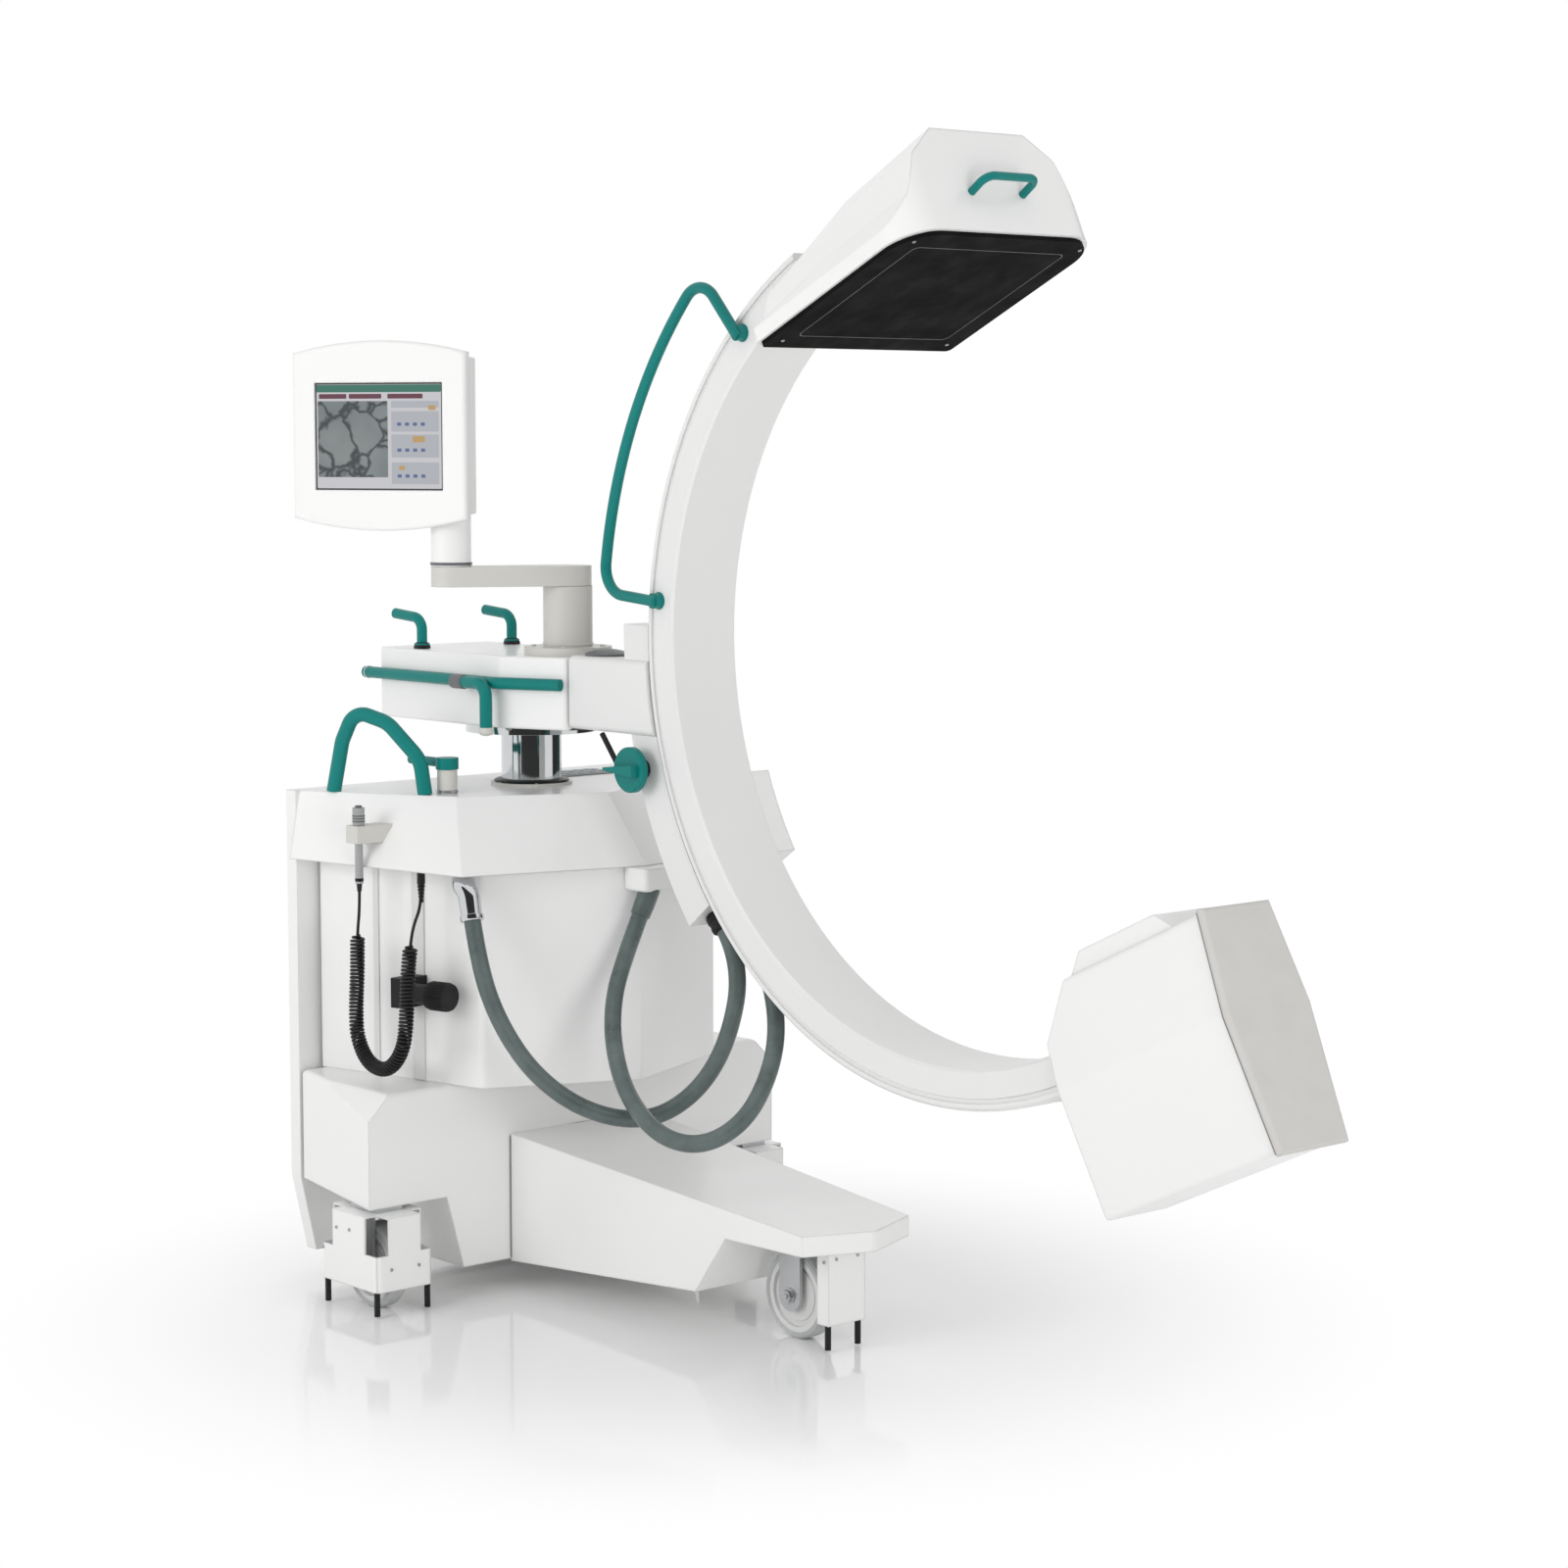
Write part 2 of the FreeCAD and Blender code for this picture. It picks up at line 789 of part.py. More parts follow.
def tube_housing():
    """The tube's housing: a waisted block with a domed top, a bevelled back and a beam window."""
    body = new_body("tube_housing")
    top = "sizes.tube_top"
    bottom = "(sizes.tube_top - sizes.tube_tall)"
    waist = "(sizes.tube_top - sizes.tube_waist_drop)"
    length = "sizes.tube_length - sizes.tube_cover_thick"
    corners = [
        ("sizes.tube_edge / 2", bottom),
        ("sizes.tube_waist / 2", waist),
        ("sizes.tube_edge / 2", top),
    ]
    drawn = new_sketch(body, "YZ_Plane", "sizes.tube_back")
    draw_outline(drawn, mirrored(corners))
    pad(body, drawn, length)
    fillet(body, "sizes.tube_round", lambda edge: along(edge, FreeCAD.Vector(1, 0, 0)))
    centre = "sizes.tube_back + sizes.tube_length / 2"
    dome = [
        (centre + " - sizes.tube_dome_length / 2", top),
        (centre + " - sizes.tube_dome_length / 2 + sizes.tube_dome", top + " + sizes.tube_dome"),
        (centre + " + sizes.tube_dome_length / 2 - sizes.tube_dome", top + " + sizes.tube_dome"),
        (centre + " + sizes.tube_dome_length / 2", top),
    ]
    add_outline(body, "XZ_Plane", dome, "sizes.tube_edge - 16", None, True)
    cut_outline(body, "XZ_Plane", [
        ("sizes.tube_back - 1", top + " - sizes.tube_bevel"),
        ("sizes.tube_back + sizes.tube_bevel * 0.8", top + " + 1"),
        ("sizes.tube_back - 1", top + " + 1"),
    ])
    level = size(top)
    fillet(body, "sizes.tube_top_round", lambda edge: crosswise(edge) and edge.BoundBox.ZMin > level - 1)
    window = [
        (centre + " - sizes.window_long / 2", "sizes.window_wide / 2"),
        (centre + " + sizes.window_long / 2", "sizes.window_wide / 2"),
    ]
    cut_outline(body, "XY_Plane", mirrored_down(window), "sizes.window_deep", False,
                "sizes.tube_top + sizes.tube_dome")
    place_in_c(part(body, "tube_housing"))


def tube_cover():
    """The grey end cover that closes the tube's housing."""
    body = new_body("tube_cover")
    over = "sizes.tube_cover_overlap"
    top = "sizes.tube_top + " + over
    bottom = "sizes.tube_top - sizes.tube_tall - " + over
    waist = "sizes.tube_top - sizes.tube_waist_drop"
    corners = [
        ("sizes.tube_edge / 2 + " + over, bottom),
        ("sizes.tube_waist / 2 + " + over, waist),
        ("sizes.tube_edge / 2 + " + over, top),
    ]
    start = "sizes.tube_back + sizes.tube_length - sizes.tube_cover_thick"
    drawn = new_sketch(body, "YZ_Plane", start)
    draw_outline(drawn, mirrored(corners))
    pad(body, drawn, "sizes.tube_cover_thick")
    front = size("sizes.tube_back + sizes.tube_length")

    def front_edge(edge):
        return edge.BoundBox.XMin > front - 0.1

    fillet(body, "5", front_edge)
    place_in_c(part(body, "tube_cover"))


# The bearing and the head

def ring_sector(inner, outer, half_width, start, span):
    """Part of a ring about the C's axis, in the machine's frame."""
    axis = FreeCAD.Vector(0, -1, 0)
    section = Part.makePolygon([
        FreeCAD.Vector(inner, -half_width, 0),
        FreeCAD.Vector(outer, -half_width, 0),
        FreeCAD.Vector(outer, half_width, 0),
        FreeCAD.Vector(inner, half_width, 0),
        FreeCAD.Vector(inner, -half_width, 0),
    ])
    face = Part.Face(section)
    face.rotate(FreeCAD.Vector(), axis, start)
    solid = face.revolve(FreeCAD.Vector(), axis, span)
    solid.translate(point("sizes.centre_x", "0", CENTRE_HEIGHT))
    return solid


def head_block():
    """The block that turns on the shaft and carries the bearing."""
    body = new_body("head_block")
    back = "sizes.head_front - sizes.head_length"
    half = "sizes.head_width / 2"
    drawn = new_sketch(body, "YZ_Plane", back)
    draw_outline(drawn, mirrored([(half, HEAD_LOW), (half, HEAD_TOP)]))
    pad(body, drawn, "sizes.head_length + sizes.head_nose")
    fillet(body, "sizes.head_round", lambda edge: along(edge, FreeCAD.Vector(1, 0, 0)))
    cut_circle(body, "YZ_Plane", "0", TURN_HEIGHT, "sizes.shaft_radius + sizes.shaft_gap",
               "sizes.head_length / 2", back, True)
    doc.recompute()
    return body


def yoke():
    """The head and the curved bearing housing behind the C, in one casting."""
    inner = size("sizes.arc_inner + sizes.arc_depth + sizes.yoke_gap")
    outer = inner + size("sizes.yoke_depth")
    half = size("sizes.yoke_width") / 2
    start = size("sizes.yoke_start")
    span = size("sizes.yoke_span")
    sector = ring_sector(inner, outer, half, start, span)
    block = head_block()
    clear = ring_sector(1, inner, 200, start - 30, span + 60)
    feature(block.Shape.cut(clear).fuse(sector).removeSplitter(), "yoke")


def roller_places():
    """The angle of each pair of rollers in the track."""
    first = size("sizes.roller_first")
    return [first, first + size("sizes.roller_spread")]


def roller_carrier():
    """Two webs through the mouth of the track, each with an axle for a pair of rollers."""
    centre = point("sizes.centre_x", "0", CENTRE_HEIGHT)
    outer = size("sizes.arc_inner + sizes.arc_depth")
    middle = outer - size("sizes.track_lip + sizes.track_height / 2")
    web = size("sizes.track_mouth") / 2 - 2
    made = []
    for angle in roller_places():
        out = bow_point(angle, 1, 0)
        seat = centre + out * middle
        reach = outer + size("sizes.yoke_gap") - middle
        thick = size("sizes.web_thick")
        plate = Part.makeBox(reach + 6, 2 * web, thick, FreeCAD.Vector(-6, -web, -thick / 2))
        plate.Placement = FreeCAD.Placement(seat, FreeCAD.Rotation(FreeCAD.Vector(0, -1, 0), angle))
        length = size("sizes.track_width") - 2
        plate = plate.cut(ring_sector(outer + size("sizes.yoke_gap"), outer + 40, 2 * web, angle - 10, 20))
        axle = Part.makeCylinder(4, length, seat - FreeCAD.Vector(0, length / 2, 0), FreeCAD.Vector(0, 1, 0))
        made.append(plate.fuse(axle))
    feature(Part.makeCompound(made), "roller_carrier")


def rollers():
    """The pairs of rollers that run in the track."""
    centre = point("sizes.centre_x", "0", CENTRE_HEIGHT)
    middle = size("sizes.arc_inner + sizes.arc_depth - sizes.track_lip - sizes.track_height / 2")
    length = size("sizes.roller_length")
    inner = size("sizes.track_mouth") / 2 + 1
    made = []
    for angle in roller_places():
        seat = centre + bow_point(angle, middle, 0)
        for side in (-1, 1):
            start = seat + FreeCAD.Vector(0, side * inner, 0)
            toward = FreeCAD.Vector(0, side, 0)
            disc = Part.makeCylinder(size("sizes.roller_radius"), length, start, toward)
            made.append(disc.cut(Part.makeCylinder(4, length, start, toward)))
    feature(Part.makeCompound(made), "rollers")


def head_cap():
    """The dark domed cap over the head's bearing."""
    radius = size("sizes.head_cap_radius")
    tall = size("sizes.head_cap_tall")
    rise = tall - size("sizes.head_cap_rim")
    dome = (radius ** 2 + rise ** 2) / (2 * rise)
    seat = point("sizes.head_front - sizes.head_length + sizes.head_cap_radius + sizes.head_cap_inset",
                 "-sizes.head_cap_offset", HEAD_TOP)
    ball = Part.makeSphere(dome, seat + FreeCAD.Vector(0, 0, tall - dome))
    feature(Part.makeCylinder(radius, tall, seat).common(ball), "head_cap")


def knob_seat():
    """The middle of the clamp's hand wheel on the bearing's near side."""
    radius = size("sizes.arc_inner + sizes.arc_depth + sizes.yoke_gap + sizes.knob_depth")
    beside = size("sizes.yoke_width") / 2
    return point("sizes.centre_x", "0", CENTRE_HEIGHT) + bow_point(size("sizes.knob_angle"), radius, beside)


def orbit_knob():
    """The hand wheel that clamps the C, with a wedge-shaped grip across its face."""
    body = new_body("orbit_knob")
    add_circle(body, "XZ_Plane", "0", "0", "sizes.knob_radius", "sizes.knob_thick")
    face = size("sizes.knob_thick")
    chamfer(body, "sizes.knob_chamfer", lambda edge: edge.BoundBox.YMax < 0.1 - face)
    grip = [
        ("sizes.knob_radius - sizes.knob_grip_half", "sizes.knob_grip_half"),
        ("-(sizes.knob_radius + sizes.knob_grip_point)", "sizes.knob_grip_tip"),
    ]
    add_outline(body, "XZ_Plane", mirrored_down(grip), "sizes.knob_thick + sizes.knob_grip_tall")
    made = part(body, "orbit_knob")
    seat = knob_seat() - FreeCAD.Vector(0, size("sizes.knob_stand"), 0)
    made.Placement = FreeCAD.Placement(seat, FreeCAD.Rotation())


def knob_stem():
    """The boss that the hand wheel turns on, and the clamp's link up to the head."""
    long = size("sizes.knob_stand - sizes.knob_gap")
    seat = knob_seat()
    boss = Part.makeCylinder(size("sizes.knob_boss"), long, seat, FreeCAD.Vector(0, -1, 0))
    radius = size("sizes.link_radius")
    middle = seat - FreeCAD.Vector(0, radius + size("sizes.knob_gap"), 0)
    low = middle - FreeCAD.Vector(size("sizes.link_low"), 0, 0)
    high = FreeCAD.Vector(middle.x - size("sizes.link_back"), middle.y, size(HEAD_LOW + " - sizes.link_radius * 0.7"))
    link = tube([high, low, middle], radius, size("sizes.link_bend"))[0]
    feature(boss.fuse(link).removeSplitter(), "knob_stem")


def slide_shaft():
    """The round shaft that slides out of the carriage and that the head turns on."""
    back = "sizes.head_front - sizes.head_length"
    shaft = cylinder("sizes.shaft_radius", "sizes.shaft_length",
                     back + " + sizes.head_length / 2 - 1 - sizes.shaft_length", "0",
                     TURN_HEIGHT, (1, 0, 0))
    flange = cylinder("sizes.shaft_flange_radius", "sizes.shaft_flange_thick",
                      back + " - sizes.turn_gap - sizes.shaft_flange_thick", "0",
                      TURN_HEIGHT, (1, 0, 0))
    part(fused([shaft, flange]), "slide_shaft")


# The carriage, the column and the levers

def carriage():
    """The carriage's housing, which narrows towards the head."""
    body = new_body("carriage")
    corners = [
        ("sizes.carriage_back", "sizes.carriage_width / 2"),
        ("sizes.carriage_shoulder", "sizes.carriage_width / 2"),
        (CARRIAGE_FRONT, "sizes.carriage_nose / 2"),
    ]
    drawn = new_sketch(body, "XY_Plane", CARRIAGE_BOTTOM)
    draw_outline(drawn, mirrored_down(corners))
    pad(body, drawn, "sizes.carriage_tall")
    fillet(body, "sizes.carriage_round", upright)
    fillet(body, "sizes.carriage_edge", lambda edge: edge.BoundBox.ZLength < 0.1)
    back = "sizes.head_front - sizes.head_length / 2 - 1 - sizes.shaft_length - 4"
    cut_circle(body, "YZ_Plane", "0", TURN_HEIGHT, "sizes.shaft_radius + sizes.shaft_gap",
               "sizes.shaft_length + 200", back, True)
    part(body, "carriage")


def side_rails():
    """The teal rails along both sides of the carriage, round its shoulders to the head."""
    radius = size("sizes.rail_radius")
    half = size("sizes.carriage_width / 2")
    level = size(RAIL_HEIGHT)
    shoulder = FreeCAD.Vector(size("sizes.carriage_shoulder"), half, level)
    nose = FreeCAD.Vector(size(CARRIAGE_FRONT), size("sizes.carriage_nose / 2"), level)
    run = (nose - shoulder).normalize()
    outward = FreeCAD.Vector(-run.y, run.x, 0) * radius
    turn = FreeCAD.Vector(1, 0, 0).getAngle(run)
    points = [
        point("sizes.carriage_back - sizes.rail_overhang", "sizes.carriage_width / 2 + sizes.rail_radius", RAIL_HEIGHT),
        shoulder + FreeCAD.Vector(radius * math.tan(turn / 2), radius, 0),
        nose + outward - run * size("sizes.rail_short"),
    ]
    near = [FreeCAD.Vector(spot.x, -spot.y, spot.z) for spot in points]
    bend = size("sizes.carriage_round") + radius
    feature(Part.makeCompound([tube(route, radius, bend)[0] for route in (points, near)]), "side_rails")


def brake_lever(label, side):
    """A bent brake lever on top of the carriage."""
    x = size("sizes.lever_x")
    y = side * size("sizes.lever_y")
    seat = size(CARRIAGE_TOP) + 0.3
    rise = size("sizes.lever_rise")
    reach = size("sizes.lever_reach")
    points = [
        FreeCAD.Vector(x, y, seat + 6),
        FreeCAD.Vector(x, y, seat + rise),
        FreeCAD.Vector(x - reach, y - 6, seat + rise + 6),
    ]
    bar = tube(points, size("sizes.lever_tube"), size("sizes.lever_bend"))[0]
    socket = Part.makeCylinder(size("sizes.lever_socket"), 8, FreeCAD.Vector(x, y, seat))
    feature(bar.fuse(socket).removeSplitter(), label)


def side_lever():
    """The lever on the near rail, which runs along it and then bends down."""
    radius = size("sizes.side_lever_tube")
    start = point("sizes.side_lever_x", "-(sizes.carriage_width / 2 + 2 * sizes.rail_radius)", RAIL_HEIGHT)
    start.y -= radius + size("sizes.arm_gap")
    corner = start + FreeCAD.Vector(size("sizes.side_lever_run"), 0, 0)
    end = corner - FreeCAD.Vector(0, 0, size("sizes.side_lever_drop"))
    feature(tube([start, corner, end], radius, size("sizes.side_lever_bend"))[0], "side_lever")


def column():
    """The chromed lift column, with the plate on top that the carriage swivels on."""
    seat = CARRIAGE_BOTTOM + " - sizes.flange_gap - sizes.flange_thick"
    rod = cylinder("sizes.column_radius", "sizes.column_length", "sizes.column_x", "0",
                   seat + " - sizes.column_length")
    plate = cylinder("sizes.flange_radius", "sizes.flange_thick", "sizes.column_x", "0", seat)
    part(fused([rod, plate]), "column")


def column_collar():
    """The guide that the column slides through, set in the console's top."""
    outer = cylinder("sizes.collar_radius", "sizes.console_top - sizes.console_bottom + 4",
                     "sizes.column_x", "0", "sizes.console_bottom")
    bore = cylinder("sizes.column_radius + sizes.column_gap",
                    "sizes.console_top - sizes.console_bottom + 8",
                    "sizes.column_x", "0", "sizes.console_bottom - 2")
    part(less(outer, bore), "column_collar")


# The monitor

def monitor_post():
    """The post on top of the carriage, on its round foot."""
    foot = cylinder("sizes.post_foot_radius", "sizes.post_foot_thick", "sizes.post_x", "0", CARRIAGE_TOP)
    post = cylinder("sizes.post_radius", "sizes.post_tall", "sizes.post_x", "0", CARRIAGE_TOP)
    part(fused([foot, post]), "monitor_post")


def arm_end():
    """The place of the monitor's neck, at the end of the arm."""
    turn = math.radians(size("sizes.arm_turn"))
    reach = size("sizes.arm_length")
    x = size("sizes.post_x") + reach * math.cos(turn)
    y = reach * math.sin(turn)
    return FreeCAD.Vector(x, y, size(ARM_HEIGHT))


def monitor_arm():
    """The flat arm between the post and the monitor's neck."""
    body = new_body("monitor_arm")
    half = "sizes.arm_thick / 2"
    drawn = new_sketch(body, "XY_Plane", "-(%s)" % half)
    draw_outline(drawn, mirrored_down([("0", "sizes.arm_round"), ("sizes.arm_length", "sizes.neck_radius")]))
    pad(body, drawn, "sizes.arm_thick")
    add_circle(body, "XY_Plane", "0", "0", "sizes.arm_round", "sizes.arm_thick", "-(%s)" % half)
    add_circle(body, "XY_Plane", "sizes.arm_length", "0", "sizes.neck_radius", "sizes.arm_thick", "-(%s)" % half)
    place(part(body, "monitor_arm"), "sizes.post_x", "0", ARM_HEIGHT, (0, 0, 1), "sizes.arm_turn")


def place_at_neck(made):
    """Puts a piece of the monitor on its neck. Its own +X points out of the screen."""
    turn = FreeCAD.Rotation(FreeCAD.Vector(0, 0, 1), size("sizes.screen_turn"))
    made.Placement = FreeCAD.Placement(FreeCAD.Vector(arm_end().x, arm_end().y, 0), turn)


def monitor_outline(grow):
    """The monitor's outline, bowed at the top and the bottom, seen from the front."""
    middle = size("sizes.monitor_offset")
    half = size("sizes.monitor_width") / 2 + grow
    low = size(MONITOR_BOTTOM) - grow
    high = low + size("sizes.monitor_tall") + 2 * grow
    bow = size("sizes.monitor_bow")

    def spot(across, up):
        return FreeCAD.Vector(0, middle + across, up)

    edges = [
        Part.Arc(spot(-half, low), spot(0, low - bow), spot(half, low)).toShape(),
        Part.LineSegment(spot(half, low), spot(half, high)).toShape(),
        Part.Arc(spot(half, high), spot(0, high + bow), spot(-half, high)).toShape(),
        Part.LineSegment(spot(-half, high), spot(-half, low)).toShape(),
    ]
    return Part.Face(Part.Wire(edges))


def monitor_shell():
    """The monitor's rear shell, with the neck that turns on the arm."""
    deep = size("sizes.monitor_deep")
    forward = size("sizes.monitor_forward")
    bezel = size("sizes.bezel_deep")
    shell = monitor_outline(-8).extrude(FreeCAD.Vector(deep, 0, 0))
    shell.translate(FreeCAD.Vector(forward - bezel - deep, 0, 0))
    rounded = shell.makeFillet(size("sizes.monitor_round"), [
        edge for edge in shell.Edges if edge.BoundBox.XMax < forward - bezel - deep + 0.1])
    arm_top = size(ARM_HEIGHT + " + sizes.arm_thick / 2 + sizes.arm_gap")
    low = size(MONITOR_BOTTOM)
    neck = Part.makeCylinder(size("sizes.neck_radius"), low + 40 - arm_top, FreeCAD.Vector(0, 0, arm_top))
    hanger = Part.makeBox(30, 44, 60, FreeCAD.Vector(-20, -22, low - 10))
    made = feature(rounded.fuse([neck, hanger]).removeSplitter(), "monitor_shell")
    place_at_neck(made)


def monitor_bezel():
    """The front frame round the screen."""
    deep = size("sizes.bezel_deep")
    forward = size("sizes.monitor_forward")
    frame = monitor_outline(0).extrude(FreeCAD.Vector(deep, 0, 0))
    frame.translate(FreeCAD.Vector(forward - deep, 0, 0))
    frame = frame.makeFillet(5, [edge for edge in frame.Edges if edge.BoundBox.XMin > forward - 0.1])
    frame = frame.cut(screen_block(0))
    place_at_neck(feature(frame, "monitor_bezel"))


def screen_block(shrink):
    """The block of space that the screen fills in the bezel."""
    forward = size("sizes.monitor_forward")
    wide = size("sizes.screen_width") - 2 * shrink
    tall = size("sizes.screen_tall") - 2 * shrink
    glass = size("sizes.screen_glass")
    recess = size("sizes.screen_recess")
    low = size(MONITOR_BOTTOM + " + sizes.monitor_tall - sizes.screen_drop - sizes.screen_tall")
    depth = glass if shrink else glass + recess + 1
    corner = FreeCAD.Vector(forward - glass - recess, size("sizes.monitor_offset") - wide / 2, low + shrink)
    return Part.makeBox(depth, wide, tall, corner)


def screen():
    place_at_neck(feature(screen_block(0.1), "screen"))


# The console, the cabinet and the base

def console():
    """The console's raked housing, wider below than above, with a shallow V for a front."""
    body = new_body("console")
    low = [
        ("sizes.console_rear", "sizes.console_low_half"),
        ("sizes.console_low_corner_x", "sizes.console_low_corner_y"),
    ]
    high = [
        ("sizes.console_rear", "sizes.console_high_half"),
        ("sizes.console_high_corner_x", "sizes.console_high_corner_y"),
    ]
    below = new_sketch(body, "XY_Plane", "sizes.console_bottom")
    draw_outline(below, mirrored_down(low, [("sizes.console_low_nose", "0")]))
    above = new_sketch(body, "XY_Plane", "sizes.console_top")
    draw_outline(above, mirrored_down(high, [("sizes.console_high_nose", "0")]))
    loft = body.newObject("PartDesign::AdditiveLoft", "console_loft")
    loft.Profile = below
    loft.Sections = [above]
    loft.Ruled = True
    cut_circle(body, "XY_Plane", "sizes.column_x", "0", "sizes.collar_radius")
    part(body, "console")


def cabinet():
    """The cabinet that holds the generator and the column's guide."""
    body = new_body("cabinet")
    corners = [
        ("sizes.cabinet_rear", "sizes.cabinet_rear_half"),
        ("sizes.cabinet_corner_x", "sizes.cabinet_corner_y"),
    ]
    drawn = new_sketch(body, "XY_Plane", "sizes.cabinet_bottom")
    draw_outline(drawn, mirrored_down(corners, [("sizes.cabinet_nose", "0")]))
    pad(body, drawn, "sizes.console_bottom - sizes.cabinet_bottom")
    corner = size("sizes.cabinet_corner_x")
    fillet(body, "sizes.cabinet_round", lambda edge: upright(edge) and abs(edge.BoundBox.XMin - corner) < 1)
    fillet(body, "sizes.cabinet_nose_round", lambda edge: upright(edge) and edge.BoundBox.XMin > corner + 1)
    cut_circle(body, "XY_Plane", "sizes.column_x", "0", "sizes.column_radius + sizes.column_hollow_gap")
    part(body, "cabinet")


def rear_panel():
    """The operator's side: one tall panel from the console down to the floor's edge."""
    body = new_body("rear_panel")
    half = "sizes.panel_half"
    corners = [
        (half + " - sizes.panel_taper", "sizes.panel_bottom"),
        (half, "sizes.well_height"),
        (half, "sizes.console_top"),
    ]
    start = "sizes.console_rear - sizes.panel_thick"
    drawn = new_sketch(body, "YZ_Plane", start)
    draw_outline(drawn, mirrored(corners))
    pad(body, drawn, "sizes.panel_thick")
    back = size(start)
    fillet(body, "sizes.panel_round", lambda edge: edge.BoundBox.XMax < back + 0.1)
    part(body, "rear_panel")


def base():
    """The cross bar over the rear casters, with a wheel well under each end."""
    body = new_body("base")
    corners = [
        ("sizes.bar_rear", "sizes.bar_rear_half"),
        ("sizes.bar_front", "sizes.bar_front_half"),
    ]
    drawn = new_sketch(body, "XY_Plane", "sizes.bar_bottom")
    draw_outline(drawn, mirrored_down(corners))
    pad(body, drawn, "sizes.cabinet_bottom - sizes.bar_bottom")
    outer = "(sizes.bar_front_half + 20)"
    for side in ("", "-"):
        cut_outline(body, "YZ_Plane", [
            (side + "(sizes.well_half - sizes.well_slant)", "sizes.bar_bottom - 1"),
            (side + "sizes.well_half", "sizes.well_height"),
            (side + outer, "sizes.well_height"),
            (side + outer, "sizes.bar_bottom - 1"),
        ])
        cut_outline(body, "YZ_Plane", [
            (side + "(sizes.bar_front_half - sizes.bar_corner)", "sizes.cabinet_bottom + 1"),
            (side + outer, "sizes.cabinet_bottom + 1"),
            (side + outer, "sizes.cabinet_bottom - sizes.bar_corner - 20"),
            (side + "(sizes.bar_front_half + 1)", "sizes.cabinet_bottom - sizes.bar_corner"),
        ])
        cut_circle(body, "XY_Plane", "sizes.rear_wheel_x", side + "sizes.rear_wheel_y",
                   "sizes.stem_radius + sizes.stem_gap", "sizes.stem_length + 1", "sizes.well_height", True)
    top = size("sizes.cabinet_bottom")
    fillet(body, "sizes.bar_round", lambda edge: edge.BoundBox.ZMin > top - 0.1)
    column_foot = CARRIAGE_BOTTOM + " - sizes.flange_gap - sizes.flange_thick - sizes.column_length"
    cut_circle(body, "XY_Plane", "sizes.column_x", "0", "sizes.column_radius + sizes.column_hollow_gap",
               "sizes.cabinet_bottom - (%s) + sizes.column_hollow_gap" % column_foot, "sizes.cabinet_bottom")
    part(body, "base")


def leg():
    """The sloping leg that runs forward to the front caster and ends in a blunt point."""
    body = new_body("leg")
    side = [
        ("sizes.bar_front", "sizes.leg_root_bottom"),
        ("sizes.leg_notch", "sizes.leg_notch_bottom"),
        ("sizes.leg_well", "sizes.leg_well_height"),
        ("sizes.leg_nose", "sizes.leg_well_height"),
        ("sizes.leg_nose", "sizes.leg_tip_top"),
        ("sizes.leg_tip", "sizes.leg_tip_top"),
        ("sizes.bar_front", "sizes.leg_root_top"),
    ]
    drawn = new_sketch(body, "XZ_Plane")
    draw_outline(drawn, side)
    pad(body, drawn, "2 * sizes.leg_root_half", True)
    for sign in ("", "-"):
        cut_outline(body, "XY_Plane", [
            ("sizes.bar_front", sign + "sizes.leg_root_half"),
            ("sizes.leg_tip", sign + "sizes.leg_tip_half"),
            ("sizes.leg_nose", sign + "4"),
            ("sizes.leg_nose + 20", sign + "4"),
            ("sizes.leg_nose + 20", sign + "(sizes.leg_root_half + 20)"),
            ("sizes.bar_front", sign + "(sizes.leg_root_half + 20)"),
        ])
    cut_circle(body, "XY_Plane", "sizes.front_wheel_x", "0", "sizes.stem_radius + sizes.stem_gap",
               "sizes.stem_length * 0.5 + 1", "sizes.leg_well_height", True)
    part(body, "leg")


def push_handle(label, side):
    """A bow to push the stand by, over one side of the console."""
    tube_radius = size("sizes.handle_tube") / 2
    top = size("sizes.console_top")
    rise = size("sizes.handle_rise")
    bend = size("sizes.handle_bend")
    rear = FreeCAD.Vector(size("sizes.handle_rear_x"), side * size("sizes.handle_rear_y"), top)
    front = FreeCAD.Vector(size("sizes.handle_front_x"), side * size("sizes.handle_front_y"), top)
    up = FreeCAD.Vector(0, 0, 1)
    run = front - rear
    points = [
        rear,
        rear + run * 0.10 + up * rise * 0.62,
        rear + run * 0.24 + up * rise,
        rear + run * 0.60 + up * rise * 0.86,
        rear + run * 0.95 + up * rise * 0.42,
        front,
    ]
    bar = tube(points, tube_radius, bend)[0]
    floor = Part.makeBox(600, 800, 60, FreeCAD.Vector(-1000, -400, top - 60))
    feature(bar.cut(floor), label)


def lever_post():
    """The short post that the steering lever turns on."""
    post = cylinder("sizes.post_lever_radius", "sizes.post_lever_tall", "sizes.post_lever_x",
                    "sizes.post_lever_y", "sizes.console_top")
    part(post, "lever_post")


def steering_lever():
    """The lever that turns the rear wheels."""
    x = size("sizes.post_lever_x")
    y = size("sizes.post_lever_y")
    z = size("sizes.console_top + sizes.post_lever_tall") + 0.3
    tall = size("sizes.steer_cap_tall")
    cap = Part.makeCylinder(size("sizes.steer_cap_radius"), tall, FreeCAD.Vector(x, y, z))
    middle = FreeCAD.Vector(x, y, z + tall / 2)
    tube_radius = size("sizes.steer_lever_tube") / 2
    arm = Part.makeCylinder(tube_radius, size("sizes.steer_lever_length"), middle, FreeCAD.Vector(-1, 0, 0))
    feature(cap.fuse(arm).removeSplitter(), "steering_lever")


# The casters

